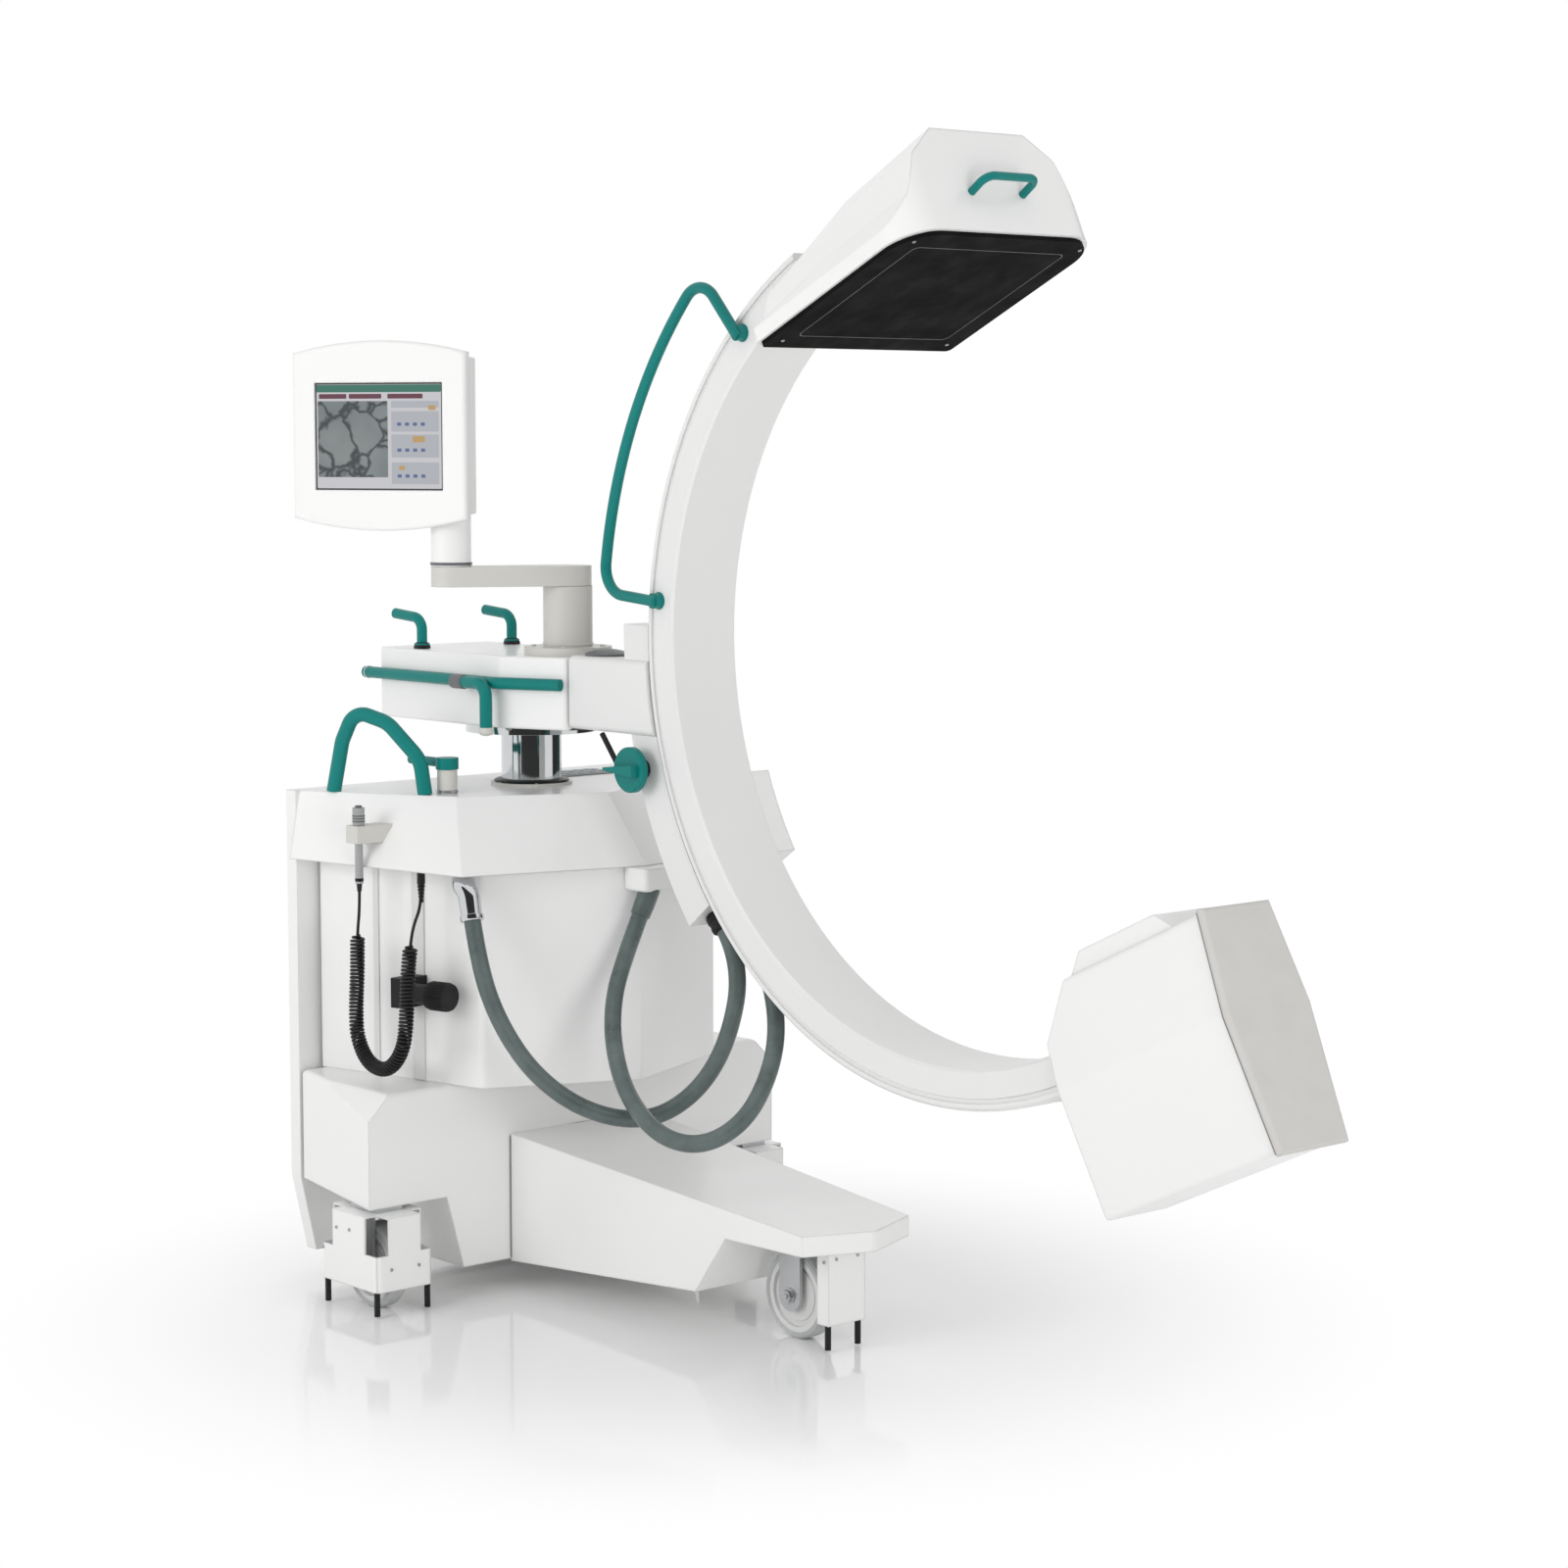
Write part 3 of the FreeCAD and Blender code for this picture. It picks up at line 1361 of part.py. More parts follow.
def wheel(name, x, y):
    """A wheel's hub and tyre. They turn on the fork's axle."""
    tread = size("sizes.wheel_radius")
    rim = tread - size("sizes.tyre_thick")
    half = size("sizes.wheel_width") / 2
    recess = size("sizes.wheel_recess")
    hub_radius = size("sizes.hub_radius")
    centre = FreeCAD.Vector(x, y, tread)

    def turned(section):
        face = Part.Face(Part.makePolygon([FreeCAD.Vector(r, w, 0) for r, w in section + section[:1]]))
        solid = face.revolve(FreeCAD.Vector(), FreeCAD.Vector(0, 1, 0), 360)
        solid.translate(centre)
        return solid

    bore = size("sizes.axle_radius + sizes.axle_gap")
    disc = [(bore, -half), (hub_radius, -half), (hub_radius, -half + recess), (rim - 8, -half + recess),
            (rim - 8, -half + 2), (rim, -half + 2), (rim, half - 2), (rim - 8, half - 2),
            (rim - 8, half - recess), (hub_radius, half - recess), (hub_radius, half), (bore, half)]
    ring = [(rim, -half + 1), (tread - 3, -half + 1), (tread, -half + 5), (tread, half - 5),
            (tread - 3, half - 1), (rim, half - 1)]
    feature(turned(disc), "wheel_" + name)
    feature(turned(ring), "tyre_" + name)


def fork(name, x, y, ceiling, stem_length):
    """A caster's fork: a top plate with its stem, two cheeks and the axle."""
    half_gap = size("sizes.wheel_width / 2 + sizes.fork_gap")
    thick = size("sizes.fork_thick")
    plate = size("sizes.fork_plate")
    half = size("sizes.fork_half")
    radius = size("sizes.wheel_radius")
    top = ceiling - size("sizes.seat_gap")
    low = top - plate
    outer = half_gap + thick
    reach = half + size("sizes.fork_lip")
    crown = Part.makeBox(2 * reach, 2 * outer, plate, FreeCAD.Vector(x - reach, y - outer, low))
    pieces = [Part.makeCylinder(size("sizes.stem_radius"), stem_length, FreeCAD.Vector(x, y, top))]
    for side in (-1, 1):
        inner = y + side * half_gap
        start = min(inner, inner + side * thick)
        cheek = Part.makeBox(2 * half, thick, low - radius, FreeCAD.Vector(x - half, start, radius))
        boss = Part.makeCylinder(half, thick, FreeCAD.Vector(x, start, radius), FreeCAD.Vector(0, 1, 0))
        pieces += [cheek, boss]
    axle_start = FreeCAD.Vector(x, y - outer, radius)
    pieces.append(Part.makeCylinder(size("sizes.axle_radius"), 2 * outer, axle_start, FreeCAD.Vector(0, 1, 0)))
    feature(crown.multiFuse(pieces).removeSplitter(), "fork_" + name)


def guard(x, y, half_length, half_width, top):
    """A cable guard round a wheel: thin plates that hang from the fork's crown and are wider below."""
    thick = size("sizes.guard_thick")
    bottom = size("sizes.guard_bottom")
    tall = top - bottom
    low = FreeCAD.Vector(x - half_length, y - half_width, bottom)
    outer = Part.makeBox(2 * half_length, 2 * half_width, tall, low)
    hollow = Part.makeBox(2 * half_length - 2 * thick, 2 * half_width - 2 * thick, tall,
                          low + FreeCAD.Vector(thick, thick, -thick))
    corners = [edge for edge in outer.Edges if upright(edge)]
    shell = outer.makeFillet(size("sizes.guard_round"), corners)
    fork_half = size("sizes.fork_half") + size("sizes.seat_gap")
    fork_width = size("sizes.wheel_width / 2 + sizes.fork_gap + sizes.fork_thick + sizes.seat_gap")
    hole = Part.makeBox(2 * fork_half, 2 * fork_width, 4 * thick,
                        FreeCAD.Vector(x - fork_half, y - fork_width, top - 2 * thick))
    long = size("sizes.guard_notch_long")
    wide = size("sizes.guard_notch_wide")
    level = size("sizes.guard_notch_height")
    notches = []
    for along_x in (-1, 1):
        for along_y in (-1, 1):
            middle = FreeCAD.Vector(x + along_x * half_length, y + along_y * half_width, level)
            corner = middle - FreeCAD.Vector(long, wide, 0)
            notches.append(Part.makeBox(2 * long, 2 * wide, top, corner))
    return shell.cut([hollow, hole] + notches)


def guard_pins(x, y, half_length, half_width):
    """The rubber pins under the corners of a guard."""
    radius = size("sizes.pin_radius")
    bottom = 3
    tall = size("sizes.guard_bottom") - bottom
    pins = []
    for along_x in (-1, 1):
        for along_y in (-1, 1):
            foot = FreeCAD.Vector(x + along_x * (half_length - 8), y + along_y * (half_width - 6), bottom)
            pins.append(Part.makeCylinder(radius, tall, foot))
    return pins


def rear_caster(name, side):
    x = size("sizes.rear_wheel_x")
    y = side * size("sizes.rear_wheel_y")
    ceiling = size("sizes.well_height")
    half_length = size("sizes.guard_half_length")
    half_width = size("sizes.guard_half_width")
    wheel(name, x, y)
    fork(name, x, y, ceiling, size("sizes.stem_length"))
    top = ceiling - size("sizes.seat_gap + sizes.fork_plate")
    plates = guard(x, y, half_length, half_width, top)
    feature(plates, "guard_" + name)
    feature(Part.makeCompound(guard_pins(x, y, half_length, half_width)), "guard_pins_" + name)


def front_caster():
    x = size("sizes.front_wheel_x")
    wheel("front", x, 0)
    fork("front", x, 0, size("sizes.leg_well_height"), size("sizes.stem_length") * 0.5)


def front_guard():
    """The plate in front of the front wheel, with two rubber pins, fixed under the nose."""
    x = size("sizes.front_guard_x")
    half = size("sizes.front_guard_half")
    deep = size("sizes.front_guard_deep")
    thick = size("sizes.guard_thick")
    bottom = size("sizes.guard_bottom")
    tall = size("sizes.leg_well_height") - bottom
    outer = Part.makeBox(deep, 2 * half, tall, FreeCAD.Vector(x, -half, bottom))
    inner = Part.makeBox(deep, 2 * half - 2 * thick, tall + 2, FreeCAD.Vector(x - thick, -half + thick, bottom - 1))
    feature(outer.cut(inner), "front_guard")
    pins = []
    for side in (-1, 1):
        foot = FreeCAD.Vector(x + deep - 8, side * (half - 6), 3)
        pins.append(Part.makeCylinder(size("sizes.pin_radius"), bottom - 3, foot))
    feature(Part.makeCompound(pins), "front_guard_pins")


# The hand switch, the socket and the cords

def switch_holder():
    """The bracket on the console's side that the hand switch hangs in."""
    x = size("sizes.switch_x")
    y = size("sizes.switch_y")
    z = size(SWITCH_HEIGHT)
    wide = size("sizes.holder_wide")
    deep = size("sizes.holder_deep")
    tall = size("sizes.holder_tall")
    block = Part.makeBox(wide, deep + 80, tall, FreeCAD.Vector(x - wide / 2, y - deep / 2, z - tall))
    block = block.cut(doc.getObject("console_body").Shape)
    hole = Part.makeCylinder(size("sizes.switch_stem_radius + sizes.switch_gap"), tall + 2,
                             FreeCAD.Vector(x, y, z - tall - 1))
    feature(block.cut(hole), "switch_holder")


def hand_switch():
    """The exposure switch, its stem down through the holder."""
    x = size("sizes.switch_x")
    y = size("sizes.switch_y")
    z = size(SWITCH_HEIGHT) + size("sizes.switch_gap")
    long = size("sizes.switch_long")
    head = Part.makeCylinder(size("sizes.switch_radius"), long, FreeCAD.Vector(x, y, z))
    stem_long = size("sizes.switch_stem_long")
    stem = Part.makeCylinder(size("sizes.switch_stem_radius"), stem_long, FreeCAD.Vector(x, y, z - stem_long))
    socket = Part.makeCylinder(size("sizes.button_radius + sizes.button_gap"), size("sizes.button_tall"),
                               FreeCAD.Vector(x, y, z + long - size("sizes.button_tall")))
    feature(head.fuse(stem).cut(socket).removeSplitter(), "hand_switch")


def switch_button():
    """The button in the top of the hand switch."""
    z = size(SWITCH_HEIGHT + " + sizes.switch_gap + sizes.switch_long - sizes.button_tall") + 3
    seat = FreeCAD.Vector(size("sizes.switch_x"), size("sizes.switch_y"), z)
    feature(Part.makeCylinder(size("sizes.button_radius"), size("sizes.button_tall"), seat), "switch_button")


# Each route runs from the piece that the cord comes out of to the one that it ends in
SIDE_HOSE = [(-445, -259, 600), (-418, -265, 515), (-373, -262, 432), (-318, -238, 358), (-265, -182, 306),
             (-211, -116, 294), (-165, -66, 336), (-129, -38, 412)]
FRONT_HOSE = [(-346, -17, 582), (-349, -46, 519), (-328, -90, 455), (-275, -132, 392), (-205, -160, 332),
              (-125, -166, 290), (-55, -146, 286), (-13, -104, 324), (-15, -56, 390), (-57, -8, 450)]
SWITCH_LEAD = [(-628, -325, 614), (-628, -325, 578), (-629, -329, 540)]
SWITCH_CURL = [(-629, -329, 540), (-627, -331, 485), (-629, -333, 433), (-626, -334, 386), (-594, -335, 350),
               (-544, -335, 347), (-510, -332, 382), (-507, -328, 432), (-511, -323, 486), (-510, -318, 536)]
PANEL_LEAD = [(-510, -318, 536), (-513, -300, 562), (-513, -284, 590), (-513, -284, 620)]


def vectors(points):
    return [FreeCAD.Vector(*place_of) for place_of in points]


def report_cord(label, points, radius, solid, path, radii):
    """Prints a cord's length, its bends and how well its volume fits its section."""
    expected = math.pi * radius * radius * path.Length
    print("%s: length %.0f, volume %.4f of section times length, radii %s"
          % (label, path.Length, solid.Volume / expected, " ".join("%.0f" % bend for bend in radii)))


def bearing_gland(side):
    """The seat and the direction of a hose's gland on the bearing's lower end."""
    inner = size("sizes.arc_inner + sizes.arc_depth + sizes.yoke_gap")
    middle = inner + size("sizes.yoke_depth") / 2
    angle = size("sizes.yoke_start + sizes.yoke_span")
    centre = point("sizes.centre_x", "0", CENTRE_HEIGHT)
    seat = centre + bow_point(angle, middle, 0) + FreeCAD.Vector(0, side * (size("sizes.gland_radius") + 5), 0)
    return seat, bow_point(angle + 90, 1, 0)


def hose(label, points, side):
    """A hose from the stand to the bearing's lower end, where it runs straight into its gland."""
    seat, out = bearing_gland(side)
    end = seat + out * size("sizes.gland_long")
    route = vectors(points) + [end + out * 62, end]
    radius = size("sizes.hose_radius")
    solid, path, radii = tube(route, radius)
    report_cord(label, route, radius, solid, path, radii)
    feature(solid, label)


def hose_side():
    hose("hose_side", SIDE_HOSE, -1)


def hose_front():
    hose("hose_front", FRONT_HOSE, 1)


def switch_cord():
    """The hand switch's cord: thin leads at both ends and a coiled stretch between them."""
    lead = size("sizes.lead_radius")
    curl = size("sizes.curl_radius")
    solids = []
    for name, points, radius in (("lead", SWITCH_LEAD, lead), ("curl", SWITCH_CURL, curl), ("lead", PANEL_LEAD, lead)):
        solid, path, radii = tube(vectors(points), radius)
        report_cord("switch cord, " + name, points, radius, solid, path, radii)
        solids.append(solid)
    feature(solids[0].multiFuse(solids[1:]), "switch_cord")


def cord_glands():
    """The glands under the console: one for each hose and one for the hand switch's lead."""
    radius = size("sizes.gland_radius")
    under = size("sizes.console_bottom")
    solids = []
    for points, long in ((SIDE_HOSE, "sizes.side_gland_long + 30"), (FRONT_HOSE, "sizes.gland_long")):
        start, following = vectors(points)[:2]
        back = (start - following).normalize()
        solids.append(Part.makeCylinder(radius, size(long), start, back))
    relief = FreeCAD.Vector(*PANEL_LEAD[-1])
    solids.append(Part.makeCylinder(size("sizes.relief_radius"), under - relief.z, relief))
    above = Part.makeBox(600, 900, 200, FreeCAD.Vector(-900, -450, under))
    nose = size("sizes.cabinet_nose")
    bracket = Part.makeBox(52, 56, 34, FreeCAD.Vector(nose - 8, -28, under - 34))
    wall = doc.getObject("cabinet_body").Shape
    solids[1] = solids[1].fuse(bracket)
    feature(Part.makeCompound([solid.cut([above, wall]) for solid in solids]), "cord_glands")


def bearing_glands():
    """The two glands on the bearing's lower end."""
    solids = []
    for side in (-1, 1):
        seat, out = bearing_gland(side)
        solids.append(Part.makeCylinder(size("sizes.gland_radius"), size("sizes.gland_long"), seat, out))
    feature(Part.makeCompound(solids), "bearing_glands")


def parked_connector():
    """The heavy connector parked in its bracket on the cabinet's near side."""
    rear = FreeCAD.Vector(size("sizes.cabinet_rear"), -size("sizes.cabinet_rear_half"), 0)
    front = FreeCAD.Vector(size("sizes.cabinet_corner_x"), -size("sizes.cabinet_corner_y"), 0)
    wall_run = (front - rear).normalize()
    outward = FreeCAD.Vector(wall_run.y, -wall_run.x, 0)
    seat = rear + wall_run * ((size("sizes.plug_x") - rear.x) / wall_run.x)
    seat.z = size("sizes.plug_height")
    stand = size("sizes.plug_stand")
    radius = size("sizes.plug_radius")
    collar = size("sizes.plug_collar_radius")
    long = size("sizes.plug_long")
    bracket = Part.makeBox(26, stand + radius, 2 * collar + 4, FreeCAD.Vector(-13, 0, -collar - 2))
    bracket.Placement = FreeCAD.Placement(seat, FreeCAD.Rotation(FreeCAD.Vector(0, 1, 0), outward))
    start = seat + outward * stand
    barrel = Part.makeCylinder(radius, long, start, wall_run)
    ring = Part.makeCylinder(collar, long * 0.42, start + wall_run * (long * 0.58), wall_run)
    feature(bracket.multiFuse([barrel, ring]).removeSplitter(), "parked_connector")


def cable_outlet():
    """The box on the C's far side that the cables come out of."""
    half = size("sizes.arc_width") / 2
    inner = size("sizes.arc_inner + sizes.arc_depth - sizes.outlet_inset - sizes.outlet_depth")
    stand = size("sizes.outlet_stand")
    outer = inner + size("sizes.outlet_depth")
    section = Part.makePolygon([
        FreeCAD.Vector(inner, half, 0),
        FreeCAD.Vector(outer, half, 0),
        FreeCAD.Vector(outer, half + stand, 0),
        FreeCAD.Vector(inner, half + stand, 0),
        FreeCAD.Vector(inner, half, 0),
    ])
    axis = FreeCAD.Vector(0, -1, 0)
    face = Part.Face(section)
    face.rotate(FreeCAD.Vector(), axis, size("sizes.outlet_start"))
    place_in_c(feature(face.revolve(FreeCAD.Vector(), axis, size("sizes.outlet_span")), "cable_outlet"))


BUILDERS = [
    c_arc, c_handle, detector_housing, detector_face, detector_grip, tube_housing, tube_cover,
    yoke, roller_carrier, rollers, head_cap, orbit_knob, knob_stem, slide_shaft,
    carriage, side_rails, side_lever, column, column_collar,
    monitor_post, monitor_arm, monitor_shell, monitor_bezel, screen,
    console, cabinet, rear_panel, base, leg, lever_post, steering_lever,
    front_caster, front_guard, switch_holder, hand_switch, switch_button,
    hose_side, hose_front, switch_cord, cord_glands, bearing_glands, parked_connector, cable_outlet,
]


def build():
    fill_sheet()
    for builder in BUILDERS:
        builder()
    for label, side in (("left", 1), ("right", -1)):
        brake_lever("brake_lever_" + label, side)
        push_handle("push_handle_" + label, side)
        rear_caster("rear_" + label, side)
    doc.recompute()


def check():
    """Stops the script if any object failed or any piece isn't a whole solid."""
    for item in doc.Objects:
        if "Invalid" in item.State or "Error" in item.State:
            raise RuntimeError("%s failed: %s" % (item.Label, item.State))
    for made in PARTS:
        if made.Shape.isNull() or not made.Shape.isValid() or not made.Shape.Solids:
            raise RuntimeError("%s isn't a valid solid" % made.Label)


def export():
    os.makedirs("parts", exist_ok=True)
    for made in PARTS:
        made.Shape.exportStep("parts/%s.step" % made.Label)


build()
check()
export()
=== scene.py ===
import json
from math import cos, pi, radians, sin, tau

import bmesh
import bpy
from mathutils import Matrix, Vector

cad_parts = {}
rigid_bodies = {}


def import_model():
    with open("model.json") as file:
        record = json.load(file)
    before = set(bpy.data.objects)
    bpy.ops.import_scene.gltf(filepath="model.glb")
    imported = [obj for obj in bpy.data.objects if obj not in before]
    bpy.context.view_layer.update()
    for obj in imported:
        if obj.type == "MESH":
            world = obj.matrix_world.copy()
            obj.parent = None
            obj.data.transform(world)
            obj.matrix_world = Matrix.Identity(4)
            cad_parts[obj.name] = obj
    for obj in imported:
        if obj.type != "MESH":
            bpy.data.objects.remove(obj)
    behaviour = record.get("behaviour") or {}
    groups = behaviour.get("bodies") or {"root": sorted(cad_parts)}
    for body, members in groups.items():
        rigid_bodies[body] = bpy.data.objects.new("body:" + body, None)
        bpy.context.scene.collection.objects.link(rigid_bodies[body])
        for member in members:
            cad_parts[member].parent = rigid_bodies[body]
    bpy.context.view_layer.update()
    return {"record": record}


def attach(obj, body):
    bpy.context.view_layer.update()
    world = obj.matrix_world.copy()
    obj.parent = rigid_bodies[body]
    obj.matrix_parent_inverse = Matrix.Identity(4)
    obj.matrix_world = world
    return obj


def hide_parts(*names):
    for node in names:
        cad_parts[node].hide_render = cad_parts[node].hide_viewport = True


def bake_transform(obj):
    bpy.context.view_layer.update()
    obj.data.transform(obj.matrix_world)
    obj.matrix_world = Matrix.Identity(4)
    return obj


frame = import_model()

# The scene is in metres, in the frame of the CAD model: +X towards the patient, +Y left, +Z up.
# Pieces are drawn in millimetres and turned to metres when their mesh is made.
METRE = 1000
UP = (0, 0, 1)

# The camera, from the photograph's perspective
CAMERA_PLACE = Vector((3.5364, -3.1529, 1.2629))
CAMERA_LOOK = Vector((-0.7476, 0.6566, -0.1000))
CAMERA_LENS = 78.75
SENSOR = 36.0

# The C's centre, the angle that it is tipped back by, and its outer radius
C_CENTRE = Vector((317, 0, 986))
C_TILT = radians(25.2)
ARC_OUTER = 600
C_FRAME = Matrix.Translation(C_CENTRE) @ Matrix.Rotation(-C_TILT, 4, "Y")

# The stand's hoses and the hand switch's cord, as points from the piece that each comes out of
SIDE_HOSE = [(-445, -259, 600), (-418, -265, 515), (-373, -262, 432), (-318, -238, 358), (-265, -182, 306),
             (-211, -116, 294), (-165, -66, 336), (-129, -38, 412)]
FRONT_HOSE = [(-346, -17, 582), (-349, -46, 519), (-328, -90, 455), (-275, -132, 392), (-205, -160, 332),
              (-125, -166, 290), (-55, -146, 286), (-13, -104, 324), (-15, -56, 390), (-57, -8, 450)]
SWITCH_LEAD = [(-628, -325, 614), (-628, -325, 578), (-629, -329, 540)]
SWITCH_CURL = [(-629, -329, 540), (-627, -331, 485), (-629, -333, 433), (-626, -334, 386), (-594, -335, 350),
               (-544, -335, 347), (-510, -332, 382), (-507, -328, 432), (-511, -323, 486), (-510, -318, 536)]
PANEL_LEAD = [(-510, -318, 536), (-516, -308, 562), (-520, -291, 590), (-520, -291, 620)]
# The radii of the hoses, of the cord's wire and of its turns, their pitch and the points on each turn
HOSE_RADIUS = 12.5
WIRE_RADIUS = 2.3
CURL_TURN = 9.0
CURL_PITCH = 5.4
CURL_STEPS = 16

# The hoses' glands on the bearing: their angle round the C, how far off it and aside they are, their
# length and how far a hose runs straight into them
GLAND_ANGLE = radians(219)
GLAND_OFF = 31
GLAND_ASIDE = 22
GLAND_LONG = 26
GLAND_RUN = 62

# Heights and places on the stand
TURN_HEIGHT = 892
CARRIAGE_TOP = 942
RAIL_HEIGHT = 902
CONSOLE_TOP = 740
CONSOLE_BOTTOM = 638
CABINET_BOTTOM = 318
REAR_FACE = -817
COLUMN = Vector((-638, 0, 0))
# The rear corner of the cabinet's side walls, and how far the walls run forwards and inwards
WALL_REAR = (-775, 296)
WALL_RUN = (306, 74)
# The side rails' and the side lever's distance from the middle
RAIL_ASIDE = 115
LEVER_ASIDE = 133.8

# The monitor's place and turn, and the height that it starts at
MONITOR_NECK = Vector((-622.15, -158.19, 0))
MONITOR_TURN = radians(-62.4)
MONITOR_BOTTOM = 1146
MONITOR_FRAME = Matrix.Translation(MONITOR_NECK) @ Matrix.Rotation(MONITOR_TURN, 4, "Z")
# In its own frame: its middle, half its width, its front, its bezel's and shell's depth, its display
MONITOR_MIDDLE = -92
MONITOR_HALF = 143
MONITOR_FRONT = 52
BEZEL_DEEP = 14
SHELL_DEEP = 46
DISPLAY_FACE = 50
DISPLAY_WIDE = 211
DISPLAY_TALL = 158

# The middles of the casters' wheels
WHEELS = {"rear_left": Vector((-557, 350, 62.5)), "rear_right": Vector((-557, -350, 62.5)),
          "front": Vector((-16, 0, 62.5))}


def linear(code):
    """The code of a screen colour, such as #F2F2F2, as the linear colour that a shader takes."""
    channels = [int(code[start:start + 2], 16) / 255 for start in (1, 3, 5)]
    turned = [c / 12.92 if c <= 0.04045 else ((c + 0.055) / 1.055) ** 2.4 for c in channels]
    return (*turned, 1.0)


def in_metres(points):
    """Points given in millimetres, in metres."""
    return [Vector(place) / METRE for place in points]


def per_metre(size):
    """The scale of a noise whose patches are about that many millimetres wide."""
    return METRE / size


# Materials

NOISE = "ShaderNodeTexNoise"
RANGE = "ShaderNodeMapRange"
MIX = "ShaderNodeMix"
RGBA = {"data_type": "RGBA"}


def feed(tree, node, **inputs):
    """Sets or links a node's inputs, each by its name or, as in0, by its number. A colour is its code."""
    for name, value in inputs.items():
        numbered = name.startswith("in")
        socket = node.inputs[int(name[2:])] if numbered else node.inputs[name.replace("_", " ")]
        if isinstance(value, bpy.types.NodeSocket):
            tree.links.new(value, socket)
        else:
            socket.default_value = linear(value) if isinstance(value, str) else value


def add(tree, kind, settings=None, **inputs):
    """Adds a shader node with its properties and inputs."""
    made = tree.nodes.new(kind)
    for name, value in (settings or {}).items():
        setattr(made, name, value)
    feed(tree, made, **inputs)
    return made


def shaded(made, **inputs):
    """A material with inputs of its shader set or linked."""
    feed(made.node_tree, made.node_tree.nodes["Principled BSDF"], **inputs)
    return made


def start(name, **inputs):
    """A new material with inputs of its shader set, its nodes, and the place on the piece."""
    made = bpy.data.materials.new(name)
    made.use_nodes = True
    shaded(made, **inputs)
    tree = made.node_tree
    return made, tree, add(tree, "ShaderNodeTexCoord").outputs["Object"]


def lacquer(name, colour, shade, gloss, peel, rise, edge, coat, specular=0.5):
    """Paint or lacquer sprayed on and baked: it flows into a fine orange peel under a glossy skin.
    Its tone drifts over a whole cover, and wiping leaves patches of more and less gloss. The peel, its
    rise and the radius that softens the edges are in millimetres."""
    drift = 260
    wiped = 70
    uneven = 0.15
    made, tree, place = start(name, Coat_Weight=coat, Coat_Roughness=0.10, IOR=1.5,
                              Specular_IOR_Level=specular)
    clouds = add(tree, NOISE, Vector=place, Scale=per_metre(drift), Detail=2.0)
    tone = add(tree, MIX, RGBA, in0=clouds.outputs["Fac"], in6=colour, in7=shade)
    wipes = add(tree, NOISE, Vector=place, Scale=per_metre(wiped), Detail=4.0)
    sheen = add(tree, RANGE, Value=wipes.outputs["Fac"], From_Min=0.3, From_Max=0.7,
                To_Min=gloss * (1 - uneven), To_Max=gloss * (1 + uneven))
    waves = add(tree, NOISE, Vector=place, Scale=per_metre(peel), Detail=2.0)
    soft = add(tree, "ShaderNodeBevel", {"samples": 4}, Radius=edge / METRE)
    bump = add(tree, "ShaderNodeBump", Strength=0.4, Distance=rise / METRE,
               Height=waves.outputs["Fac"], Normal=soft.outputs["Normal"])
    return shaded(made, Base_Color=tone.outputs[2], Roughness=sheen.outputs["Result"],
                  Normal=bump.outputs["Normal"])


def moulded(name, colour, shade, gloss, grain, rise, edge=0.8, specular=0.5):
    """Plastic from a spark-eroded mould: an even satin grain of small pits, shinier where it is handled.
    The real pits are a tenth of a millimetre wide, so they are drawn about ten times as wide to show."""
    flow_lines = 40
    handled = 0.12
    made, tree, place = start(name, IOR=1.52, Specular_IOR_Level=specular)
    flow = add(tree, NOISE, Vector=place, Scale=per_metre(flow_lines), Detail=3.0)
    tone = add(tree, MIX, RGBA, in0=flow.outputs["Fac"], in6=colour, in7=shade)
    satin = add(tree, RANGE, Value=flow.outputs["Fac"], From_Min=0.3, From_Max=0.7,
                To_Min=gloss * (1 - handled), To_Max=gloss * (1 + handled))
    pits = add(tree, "ShaderNodeTexVoronoi", Vector=place, Scale=per_metre(grain))
    soft = add(tree, "ShaderNodeBevel", {"samples": 4}, Radius=edge / METRE)
    bump = add(tree, "ShaderNodeBump", Strength=0.5, Distance=rise / METRE,
               Height=pits.outputs["Distance"], Normal=soft.outputs["Normal"])
    return shaded(made, Base_Color=tone.outputs[2], Roughness=satin.outputs["Result"],
                  Normal=bump.outputs["Normal"])


def rubbery(name, colour, dust, gloss, grain):
    """Rubber or soft plastic: dull, with grey dust in patches and a dry grain.
    The real grain is too fine to show, so it is drawn about a millimetre wide."""
    dusty = 45
    rise = 0.12
    made, tree, place = start(name, IOR=1.5, Specular_IOR_Level=0.4)
    patches = add(tree, NOISE, Vector=place, Scale=per_metre(dusty), Detail=5.0, Roughness=0.6)
    settled = add(tree, RANGE, Value=patches.outputs["Fac"], From_Min=0.35, From_Max=0.7)
    tone = add(tree, MIX, RGBA, in0=settled.outputs["Result"], in6=colour, in7=dust)
    dull = add(tree, RANGE, Value=settled.outputs["Result"], To_Min=gloss, To_Max=gloss * 1.3)
    dry = add(tree, NOISE, Vector=place, Scale=per_metre(grain), Detail=3.0)
    bump = add(tree, "ShaderNodeBump", Strength=0.4, Distance=rise / METRE, Height=dry.outputs["Fac"])
    return shaded(made, Base_Color=tone.outputs[2], Roughness=dull.outputs["Result"],
                  Normal=bump.outputs["Normal"])


